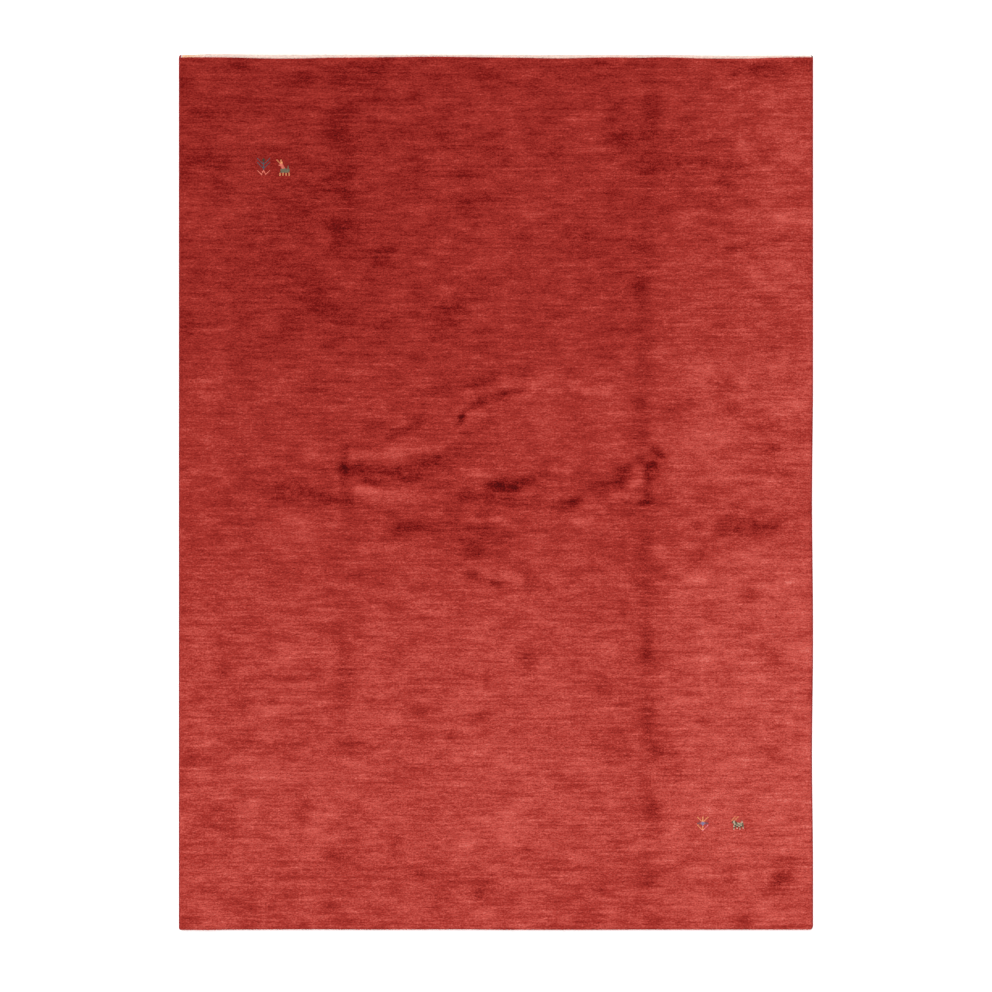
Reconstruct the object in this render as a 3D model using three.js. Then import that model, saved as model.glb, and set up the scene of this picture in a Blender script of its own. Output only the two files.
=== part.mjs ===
// Gabbeh rug: a hand-knotted wool rug lying flat with its pile up, in millimetres, +Z up.
// The origin is the middle of the underside. +Y runs to the end that shows its cream web,
// +X to the right of someone who looks along +Y.

import * as THREE from 'three';

// Driving dimensions
const RUG_WIDTH = 1710; // across both side cords
const RUG_LENGTH = 2362; // from the nearest knots to the far edge of the web
const PILE_HEIGHT = 11.5; // from the underside to the tips of the level pile
const CORD_SIZE = 6; // width and height of an overcast side cord
const WEB_THICKNESS = 2.2;
const WEB_TUCK = 5; // how far the web reaches in under the pile
const GAP = 0.3; // between neighbouring pieces

const HALF_WIDTH = RUG_WIDTH / 2;
const HALF_LENGTH = RUG_LENGTH / 2;

// Plan shape: the right side is drawn in by two shallow bows, the left side is straight
const RIGHT_SIDE_BOWS = [
  { middle: -25, reach: 330, depth: 2.6 },
  { middle: -710, reach: 300, depth: 2.8 },
];
const CORNER_RADIUS = { left: { near: 7, far: 8 }, right: { near: 11, far: 4 } };

// Near end: how far the pile stays back from the end line, across the rug
const NEAR_END = [
  { across: -855, inset: 0.8 },
  { across: -805, inset: 0.0 },
  { across: -720, inset: 1.6 },
  { across: -500, inset: 2.2 },
  { across: -320, inset: 1.6 },
  { across: -75, inset: 2.2 },
  { across: 20, inset: 1.1 },
  { across: 250, inset: 1.1 },
  { across: 400, inset: 1.6 },
  { across: 855, inset: 1.6 },
];

// Far end: how far the web's edge and the first row of knots stay back from the end line
const FAR_END = [
  { across: -855, web: 3.0, pile: 10.0 },
  { across: -785, web: 0.0, pile: 9.7 },
  { across: -720, web: 0.8, pile: 10.2 },
  { across: -655, web: 1.5, pile: 12.4 },
  { across: -570, web: 1.5, pile: 13.5 },
  { across: -440, web: 1.5, pile: 10.8 },
  { across: -310, web: 1.5, pile: 9.7 },
  { across: -180, web: 1.5, pile: 8.1 },
  { across: 10, web: 1.6, pile: 10.2 },
  { across: 185, web: 2.0, pile: 12.9 },
  { across: 295, web: 1.9, pile: 10.0 },
  { across: 400, web: 1.9, pile: 10.9 },
  { across: 445, web: 2.0, pile: 9.7 },
  { across: 585, web: 4.0, pile: 13.2 },
  { across: 690, web: 4.3, pile: 13.2 },
  { across: 770, web: 4.0, pile: 10.5 },
  { across: 855, web: 4.3, pile: 9.7 },
];

// Rim of the pile, from the floor up: how far each ring lies in from the rug's sides,
// from the nearest knots and from the farthest knots. The last ring is the pile's crown.
const RIM = [
  { height: 0.0, side: 6.6, near: 3.0, far: WEB_TUCK + GAP },
  { height: 2.6, side: 6.4, near: 2.0, far: WEB_TUCK + GAP },
  { height: 5.4, side: 6.3, near: 0.6, far: 1.2 },
  { height: 7.6, side: 3.6, near: 0.0, far: 0.0 },
  { height: 10.2, side: 4.2, near: 0.9, far: 0.6 },
  { height: 11.1, side: 7.2, near: 3.4, far: 3.0 },
];

// Long soft troughs where the rug was folded for storage; they run along it
const FOLDS = [
  { across: -396, from: -1120, to: 330, width: 26, depth: 1.1 },
  { across: -404, from: 650, to: 1130, width: 24, depth: 0.9 },
  { across: 404, from: -1130, to: 1160, width: 26, depth: 1.6 },
];

// Short creases in the middle, each a soft trough along a straight line
const CREASES = [
  { fromX: -98, fromY: 188, toX: -80, toY: 224, width: 16, depth: 1.6 },
  { fromX: -80, fromY: 226, toX: 50, toY: 274, width: 18, depth: 1.8 },
  { fromX: -55, fromY: 300, toX: 112, toY: 318, width: 26, depth: 1.4 },
  { fromX: -310, fromY: 138, toX: -178, toY: 200, width: 18, depth: 1.5 },
  { fromX: -410, fromY: 66, toX: 90, toY: 122, width: 24, depth: 1.7 },
  { fromX: -401, fromY: 88, toX: -401, toY: 20, width: 16, depth: 1.6 },
  { fromX: -24, fromY: 12, toX: 130, toY: 44, width: 20, depth: 1.5 },
  { fromX: 168, fromY: -16, toX: 226, toY: -42, width: 20, depth: 1.4 },
  { fromX: 286, fromY: 34, toX: 416, toY: 66, width: 18, depth: 2.0 },
  { fromX: 436, fromY: 112, toX: 400, toY: -24, width: 18, depth: 1.8 },
  { fromX: -98, fromY: -166, toX: -23, toY: -238, width: 18, depth: 1.2 },
  { fromX: -23, fromY: -238, toX: 77, toY: -266, width: 18, depth: 1.2 },
  { fromX: -48, fromY: -120, toX: 26, toY: -126, width: 20, depth: 1.0 },
];

// Slow unevenness of the pile: waves of a few tenths of a millimetre
const SWELLS = [
  { height: 0.2, alongX: 610, alongY: 1450, phase: 0.4 },
  { height: 0.16, alongX: -340, alongY: 520, phase: 2.1 },
  { height: 0.12, alongX: 230, alongY: 290, phase: 4.0 },
];

// Steps of the meshes
const GRID_STEP = 48;
const EDGE_STEPS = [3, 8, 16]; // first grid lines in from every edge
const FOLD_STEPS = [-20, 0, 20]; // extra grid lines on and beside each long trough
const CORD_STEPS = 40;
const CORD_SIDES = 8;
const CORD_TIP_STEPS = [1.5, 4, 8, 14]; // sections near a cord's ends, in from its tips
const CORD_TIP_SCALE = 0.6;
const CORD_END_BACK = 1; // a cord stops this far short of the nearest knots

/** A closed triangle mesh, put together from corner points and faces. */
class Body {
  positions = [];
  faces = [];

  point(x, y, z) {
    this.positions.push(x, y, z);
    return this.positions.length / 3 - 1;
  }

  triangle(a, b, c) {
    this.faces.push(a, b, c);
  }

  quad(a, b, c, d) {
    this.triangle(a, b, c);
    this.triangle(a, c, d);
  }

  /** Joins two closed rings of points; seen from outside, lower runs left to right. */
  band(lower, upper) {
    lower.forEach((point, i) => {
      const next = (i + 1) % lower.length;
      this.quad(point, lower[next], upper[next], upper[i]);
    });
  }

  /** Closes a ring with triangles around its middle. */
  cap(ring, middle) {
    ring.forEach((point, i) => this.triangle(point, ring[(i + 1) % ring.length], middle));
  }

  geometry() {
    const geometry = new THREE.BufferGeometry();
    geometry.setAttribute('position', new THREE.Float32BufferAttribute(this.positions, 3));
    geometry.setIndex(this.faces);
    geometry.computeVertexNormals();
    return geometry;
  }
}

/** A column of a table read at a place across the rug, eased from row to row. */
function readTable(rows, column, across) {
  const last = rows.length - 1;
  if (across <= rows[0].across) return rows[0][column];
  if (across >= rows[last].across) return rows[last][column];
  const upper = rows.findIndex((row) => row.across > across);
  const [a, b] = [rows[upper - 1], rows[upper]];
  const share = THREE.MathUtils.smoothstep(across, a.across, b.across);
  return THREE.MathUtils.lerp(a[column], b[column], share);
}

const nearLine = (x) => -HALF_LENGTH + readTable(NEAR_END, 'inset', x);
const farKnotLine = (x) => HALF_LENGTH - readTable(FAR_END, 'pile', x);
const farWebLine = (x) => HALF_LENGTH - readTable(FAR_END, 'web', x);

/** How far a corner of this radius has left the side's line, at a distance from the end. */
function cornerDraw(radius, distance) {
  const rest = Math.max(0, radius - Math.max(0, distance));
  return radius - Math.sqrt(radius * radius - rest * rest);
}

/** Distance of the rug's outer side line from the middle line, at a place along the rug. */
function sideReach(side, y) {
  const sideX = side === 'left' ? -HALF_WIDTH : HALF_WIDTH;
  const radius = CORNER_RADIUS[side];
  const draw = cornerDraw(radius.near, y - nearLine(sideX)) + cornerDraw(radius.far, farWebLine(sideX) - y);
  if (side === 'left') return HALF_WIDTH - draw;
  const bows = RIGHT_SIDE_BOWS.reduce((sum, bow) => {
    const offset = Math.min(1, Math.abs(y - bow.middle) / bow.reach);
    return sum + bow.depth * Math.cos((offset * Math.PI) / 2) ** 2;
  }, 0);
  return HALF_WIDTH - draw - bows;
}

/** Depth of a soft trough at a distance from its line. */
const trough = (distance, width, depth) => depth * Math.exp(-((distance / width) ** 2));

/** Height of the worn, folded pile above or below its level, at a place on the rug. */
function relief(x, y) {
  let height = 0;
  for (const swell of SWELLS) {
    const angle = 2 * Math.PI * (x / swell.alongX + y / swell.alongY) + swell.phase;
    height += swell.height * Math.sin(angle);
  }
  for (const fold of FOLDS) {
    const past = Math.max(fold.from - y, y - fold.to, 0);
    height -= trough(Math.hypot(x - fold.across, past), fold.width, fold.depth);
  }
  for (const crease of CREASES) {
    const [runX, runY] = [crease.toX - crease.fromX, crease.toY - crease.fromY];
    const reach = ((x - crease.fromX) * runX + (y - crease.fromY) * runY) / (runX ** 2 + runY ** 2);
    const share = THREE.MathUtils.clamp(reach, 0, 1);
    const [nearX, nearY] = [crease.fromX + share * runX, crease.fromY + share * runY];
    height -= trough(Math.hypot(x - nearX, y - nearY), crease.width, crease.depth);
  }
  return height;
}

/** Grid lines from one edge to the other, as shares of the half size from -1 to 1. */
function gridLines(half, extras) {
  const inner = half - EDGE_STEPS.at(-1);
  const count = Math.round((2 * inner) / GRID_STEP);
  const even = Array.from({ length: count + 1 }, (_, i) => -inner + (2 * inner * i) / count);
  const clear = even.filter((line) => extras.every((extra) => Math.abs(line - extra) > GRID_STEP / 4));
  const edge = [0, ...EDGE_STEPS.slice(0, -1)].map((step) => half - step);
  const lines = [...edge.map((line) => -line), ...clear, ...extras, ...edge];
  return lines.sort((a, b) => a - b).map((line) => line / half);
}

const foldLines = FOLDS.filter((fold) => fold.to > 0 && fold.from < 0)
  .flatMap((fold) => FOLD_STEPS.map((step) => fold.across + step));
const COLUMNS = gridLines(HALF_WIDTH, foldLines);
const ROWS = gridLines(HALF_LENGTH, []);

/** A point of the pile: shares across and along the rug, on a ring of the rim. */
function pilePoint(column, row, ring) {
  const roughX = column * HALF_WIDTH;
  const reachY = row < 0 ? -nearLine(roughX) - ring.near : farKnotLine(roughX) - ring.far;
  const y = row * reachY;
  const x = column * (sideReach(column < 0 ? 'left' : 'right', y) - ring.side);
  const softness = (ring.height / PILE_HEIGHT) ** 2; // the pile gives way, the foundation doesn't
  return { x, y, z: ring.height + softness * relief(x, y) };
}

/** The edge of the grid as pairs of shares, round the rug from its near left corner. */
function rimShares() {
  const [lastColumn, lastRow] = [COLUMNS.length - 1, ROWS.length - 1];
  const near = COLUMNS.slice(0, lastColumn).map((column) => [column, -1]);
  const right = ROWS.slice(0, lastRow).map((row) => [1, row]);
  const far = COLUMNS.slice(1).reverse().map((column) => [column, 1]);
  const left = ROWS.slice(1).reverse().map((row) => [-1, row]);
  return [...near, ...right, ...far, ...left];
}

/** Flat underside: a large triangle round the origin, joined to the foot ring. */
function addUnderside(body, foot) {
  const turn = 2 * Math.PI;
  const third = turn / 3;
  const firstSector = turn / 12; // where the sector of the first corner starts
  const radius = HALF_WIDTH / 2;
  const corners = [0, 1, 2].map((k) => {
    const angle = firstSector + (k + 0.5) * third;
    return body.point(radius * Math.cos(angle), radius * Math.sin(angle), 0);
  });
  body.triangle(corners[2], corners[1], corners[0]);
  const position = (index) => body.positions.slice(3 * index, 3 * index + 2);
  const cornerOf = (i) => {
    const [ax, ay] = position(foot[i]);
    const [bx, by] = position(foot[(i + 1) % foot.length]);
    const angle = Math.atan2(ay + by, ax + bx) - firstSector;
    return Math.floor(THREE.MathUtils.euclideanModulo(angle, turn) / third);
  };
  foot.forEach((point, i) => {
    const corner = cornerOf(i);
    const before = cornerOf((i + foot.length - 1) % foot.length);
    body.triangle(foot[(i + 1) % foot.length], point, corners[corner]);
    if (before !== corner) body.triangle(point, corners[before], corners[corner]);
  });
}

/** The knotted pile field: a relief grid on top, rounded rim and flat underside. */
function pileField() {
  const body = new Body();
  const crown = RIM.at(-1);
  const grid = ROWS.map((row) => COLUMNS.map((column) => {
    const { x, y, z } = pilePoint(column, row, crown);
    const onEdge = Math.abs(column) === 1 || Math.abs(row) === 1;
    const rise = onEdge ? 0 : PILE_HEIGHT - crown.height;
    return body.point(x, y, z + rise);
  }));
  for (let j = 0; j + 1 < ROWS.length; j += 1) {
    for (let i = 0; i + 1 < COLUMNS.length; i += 1) {
      body.quad(grid[j][i], grid[j][i + 1], grid[j + 1][i + 1], grid[j + 1][i]);
    }
  }
  const shares = rimShares();
  const crownRing = shares.map(([column, row]) => grid[ROWS.indexOf(row)][COLUMNS.indexOf(column)]);
  const rings = RIM.slice(0, -1).map((ring) => shares.map(([column, row]) => {
    const { x, y, z } = pilePoint(column, row, ring);
    return body.point(x, y, z);
  }));
  rings.push(crownRing);
  for (let k = 0; k + 1 < rings.length; k += 1) body.band(rings[k], rings[k + 1]);
  addUnderside(body, rings[0]);
  return body.geometry();
}

/** A long piece lofted through its sections; each is a ring of points, all turning alike. */
function loft(sections) {
  const body = new Body();
  const rings = sections.map((section) => section.map(({ x, y, z }) => body.point(x, y, z)));
  for (let k = 0; k + 1 < rings.length; k += 1) body.band(rings[k], rings[k + 1]);
  const middleOf = (section) => section
    .reduce((sum, point) => sum.add(point), new THREE.Vector3())
    .divideScalar(section.length);
  const [first, last] = [middleOf(sections[0]), middleOf(sections.at(-1))];
  body.cap([...rings[0]].reverse(), body.point(first.x, first.y, first.z));
  body.cap(rings.at(-1), body.point(last.x, last.y, last.z));
  return body.geometry();
}

/** The cream web beyond the farthest knots, tucked in under the pile. */
function endWeb() {
  const easing = WEB_THICKNESS / 4; // rounding of the outer edge
  const sections = COLUMNS.map((column) => {
    const outer = farWebLine(column * HALF_WIDTH);
    const inner = farKnotLine(column * HALF_WIDTH) - WEB_TUCK;
    const side = column < 0 ? 'left' : 'right';
    const section = [
      [inner, 0],
      [outer - easing, 0],
      [outer, easing],
      [outer, WEB_THICKNESS - easing],
      [outer - easing, WEB_THICKNESS],
      [inner, WEB_THICKNESS],
    ];
    return section.map(([y, z]) => {
      const x = column * (sideReach(side, y) - CORD_SIZE - GAP);
      return new THREE.Vector3(x, y, z);
    });
  });
  return loft(sections);
}

/** One overcast side cord: an eight-sided section along the rug's side, with rounded tips. */
function sideCord(side) {
  const sign = side === 'left' ? -1 : 1;
  const from = nearLine(sign * HALF_WIDTH) + CORD_END_BACK;
  const to = farWebLine(sign * HALF_WIDTH);
  const steps = Array.from({ length: CORD_STEPS - 1 }, (_, i) => (i + 1) / CORD_STEPS);
  const places = [
    from,
    ...CORD_TIP_STEPS.map((tip) => from + tip),
    ...steps.map((share) => THREE.MathUtils.lerp(from, to, share)),
    ...CORD_TIP_STEPS.map((tip) => to - tip).reverse(),
    to,
  ];
  const corner = CORD_SIZE / 2 / Math.cos(Math.PI / CORD_SIDES);
  const sections = places.map((y) => {
    const scale = y === from || y === to ? CORD_TIP_SCALE : 1;
    const middle = sign * (sideReach(side, y) - CORD_SIZE / 2);
    return Array.from({ length: CORD_SIDES }, (_, i) => {
      const angle = (2 * Math.PI * (i + 0.5)) / CORD_SIDES;
      const x = middle + scale * corner * Math.sin(angle);
      return new THREE.Vector3(x, y, CORD_SIZE / 2 + scale * corner * Math.cos(angle));
    });
  });
  return loft(sections);
}

/** A named mesh with its own matt wool or cotton material. */
function piece(name, geometry, color, roughness) {
  const material = new THREE.MeshStandardMaterial({ color, roughness, metalness: 0 });
  const mesh = new THREE.Mesh(geometry, material);
  mesh.name = name;
  return mesh;
}

const rug = new THREE.Group();
rug.name = 'gabbeh_rug';
rug.add(
  piece('pile_field', pileField(), '#aa3931', 0.95),
  piece('end_web', endWeb(), '#d9c8a8', 0.9),
  piece('side_cord_left', sideCord('left'), '#98303a', 0.9),
  piece('side_cord_right', sideCord('right'), '#98303a', 0.9),
);

export default rug;
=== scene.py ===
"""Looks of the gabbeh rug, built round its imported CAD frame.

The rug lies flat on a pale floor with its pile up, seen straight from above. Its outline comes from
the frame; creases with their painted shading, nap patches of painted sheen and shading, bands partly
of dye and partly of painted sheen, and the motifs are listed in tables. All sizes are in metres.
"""

import logging
import math
from collections.abc import Iterable, Mapping, Sequence
from dataclasses import dataclass
from enum import Enum
from typing import Any

import bpy
import numpy as np
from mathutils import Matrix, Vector


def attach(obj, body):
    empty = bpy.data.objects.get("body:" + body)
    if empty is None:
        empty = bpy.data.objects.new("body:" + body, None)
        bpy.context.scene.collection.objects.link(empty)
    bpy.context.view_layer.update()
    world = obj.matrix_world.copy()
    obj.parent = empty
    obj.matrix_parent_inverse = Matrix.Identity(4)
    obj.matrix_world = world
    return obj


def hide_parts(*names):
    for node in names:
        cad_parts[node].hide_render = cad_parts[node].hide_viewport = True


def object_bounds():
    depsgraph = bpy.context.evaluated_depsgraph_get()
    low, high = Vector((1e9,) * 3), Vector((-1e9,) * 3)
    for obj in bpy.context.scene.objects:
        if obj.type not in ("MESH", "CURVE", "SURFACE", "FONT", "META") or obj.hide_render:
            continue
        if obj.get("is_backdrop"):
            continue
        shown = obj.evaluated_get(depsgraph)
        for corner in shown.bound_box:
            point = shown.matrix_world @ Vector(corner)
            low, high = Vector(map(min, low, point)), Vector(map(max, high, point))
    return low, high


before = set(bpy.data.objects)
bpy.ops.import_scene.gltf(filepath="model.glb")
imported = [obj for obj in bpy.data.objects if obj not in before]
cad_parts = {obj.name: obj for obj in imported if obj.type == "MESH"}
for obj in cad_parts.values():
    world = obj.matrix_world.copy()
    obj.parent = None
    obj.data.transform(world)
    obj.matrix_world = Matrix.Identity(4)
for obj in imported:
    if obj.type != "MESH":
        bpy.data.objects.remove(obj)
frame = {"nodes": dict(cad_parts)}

LOG = logging.getLogger("gabbeh")
BODY = "root"
UV_MAP = "OFBake"
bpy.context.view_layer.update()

Colour = tuple[float, float, float]


class Slot(Enum):
    """Names of material slots."""

    PILE = "pile"
    WEB = "web"
    CORD = "cord"


class Side(Enum):
    """The two long sides, by the sign of X."""

    LEFT = -1
    RIGHT = 1


def linear(red: float, green: float, blue: float) -> Colour:
    """Linear colour of three screen values from 0 to 255."""
    shares = (value / 255 for value in (red, green, blue))
    return tuple(s / 12.92 if s <= 0.04045 else ((s + 0.055) / 1.055) ** 2.4 for s in shares)


# Creases, folds and painted shading of the pile

FADED = 3  # half widths from its line at which a mark is taken as faded
SPREAD_ROOM = 0.02  # added to that distance for marks that are taken wider
SHORTEST = 1e-12  # squared length that stands for none


@dataclass(frozen=True)
class Mark:
    """A crease, a row line or a nap patch: a soft line of painted shading, a painted highlight below 0."""

    width: float
    shade: float
    places: tuple[tuple[float, float], ...]

    @classmethod
    def read(cls, width: int, shade: int, *places: int) -> "Mark":
        """A mark from its half width and places in millimetres and its painted shading in hundredths."""
        pairs = zip(places[::2], places[1::2])
        return cls(width / 1000, shade / 100, tuple((x / 1000, y / 1000) for x, y in pairs))

    def weight(self, x: np.ndarray, y: np.ndarray, spread: float = 0.0) -> np.ndarray:
        """Strength of the mark from 0 to 1 at each place, with its half width wider by the spread."""
        apart = np.full_like(x, np.inf)
        for (x0, y0), (x1, y1) in zip(self.places, self.places[1:]):
            run_x, run_y = x1 - x0, y1 - y0
            length = max(run_x**2 + run_y**2, SHORTEST)
            share = np.clip(((x - x0) * run_x + (y - y0) * run_y) / length, 0, 1)
            apart = np.minimum(apart, np.hypot(x - x0 - share * run_x, y - y0 - share * run_y))
        return np.exp(-((apart / (self.width + spread)) ** 2))

    def near(self, x: np.ndarray, y: np.ndarray) -> np.ndarray:
        """Whether the mark can touch each place."""
        xs, ys = zip(*self.places)
        pad = FADED * self.width + SPREAD_ROOM
        across = (x > min(xs) - pad) & (x < max(xs) + pad)
        return across & (y > min(ys) - pad) & (y < max(ys) + pad)


# Marks: half width and places in millimetres, painted shading in hundredths of a tone, each row
# as half width, painted shading, then x and y of every place that the line passes
# Creases: painted shading in the creases and painted highlights on the ridges, both also pressed into the
# relief
CREASES = tuple(
    Mark.read(*row)
    for row in (
        # the crease from the left fold, and the slanting one above it
        (8, 30, -402, 120, -411, 70), (10, 40, -411, 70, -410, 32), (12, 38, -405, 60, -372, 68),
        (11, 26, -365, 60, -264, 58), (11, 22, -262, 66, -195, 72), (12, 45, -190, 79, -160, 82),
        (16, 18, -150, 72, -75, 68), (8, 20, -160, 93, -130, 96), (9, 32, -352, 33, -325, 22),
        (6, 20, -325, 15, -262, 12), (12, 16, -250, 40, -200, 32), (9, 30, -397, -10, -390, -34),
        (8, 28, -285, 146, -240, 172, -200, 187), (30, 10, -375, 165, -290, 160),
        # creases above the middle
        (7, 62, -95, 188, -92, 203), (6, 34, -92, 203, -76, 224, -36, 244), (11, 34, -36, 244, 20, 262),
        (10, 22, 20, 264, 65, 268), (14, 34, -78, 284, -45, 292), (10, 34, -40, 297, -5, 306),
        (16, 13, 0, 318, 75, 322), (14, 18, -160, 254, -115, 258),
        # the crease in the middle, dark with painted shading
        (10, 50, -20, 18, 10, 20), (11, 62, 10, 18, 52, 12), (9, 34, 55, 18, 98, 36),
        (10, 15, 98, 36, 135, 42), (16, 22, -10, -12, 30, -14), (14, 20, 35, -22, 110, -32),
        (9, 30, -90, -14, -90, -22), (8, 28, -88, 8, -70, 2), (18, 16, -60, -12, 0, -12),
        # creases right of it, to the foot of the right fold
        (12, 26, 165, -42, 205, -36), (9, 30, 205, -28, 228, -26), (16, 42, 330, 34, 345, 55),
        (14, 26, 300, 18, 330, 22), (6, 22, 250, 12, 300, 12), (12, 20, 350, 66, 392, 94),
        (9, 48, 426, 114, 444, 98), (10, 60, 411, 70, 425, 74), (11, 52, 410, 52, 428, 54),
        (9, 32, 413, 35, 405, -12), (9, 52, 393, -30, 413, -24),
        # creases below the middle
        (11, 32, -262, -98, -232, -100), (6, 20, -230, -97, -195, -94), (15, 28, -62, -163, -48, -165),
        (14, 24, -30, -125, 30, -132), (8, 34, -82, -222, -40, -234, 5, -249), (10, 20, 5, -252, 85, -262),
        (14, 20, 85, -205, 88, -262), (9, 26, -392, -222, -370, -230),
        # ridges beside the creases, raised and with painted highlights
        (13, -30, -388, 98, -260, 98), (13, -24, -280, 120, -150, 118), (11, -36, -372, 3, -325, 4),
        (16, -20, -320, -8, -155, -14), (13, -22, -90, 62, -45, 55), (9, -30, -50, 46, -15, 43),
        (10, -22, -75, 207, -40, 210), (9, -24, -360, -160, -280, -157), (12, -14, -200, -152, -100, -180),
        (11, -20, -72, -198, -20, -218), (6, -24, -90, -80, 0, -75), (9, -24, 12, 290, 38, 288),
        (18, -20, 105, 292, 160, 300), (12, -22, 205, 290, 235, 272), (10, -30, 245, 267, 296, 264),
        (14, -20, 52, 252, 90, 262), (9, -40, 362, 16, 388, 30), (6, -26, 310, -10, 392, -11),
        (10, -26, 150, 60, 195, 54), (18, -30, 225, -80, 290, -90), (10, -26, 240, -36, 290, -46),
        (10, -28, 0, -76, 28, -76), (13, -28, 30, -222, 70, -242), (12, -28, 520, -236, 560, -242),
        (8, -24, 340, 80, 356, 90),
    )
)
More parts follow.
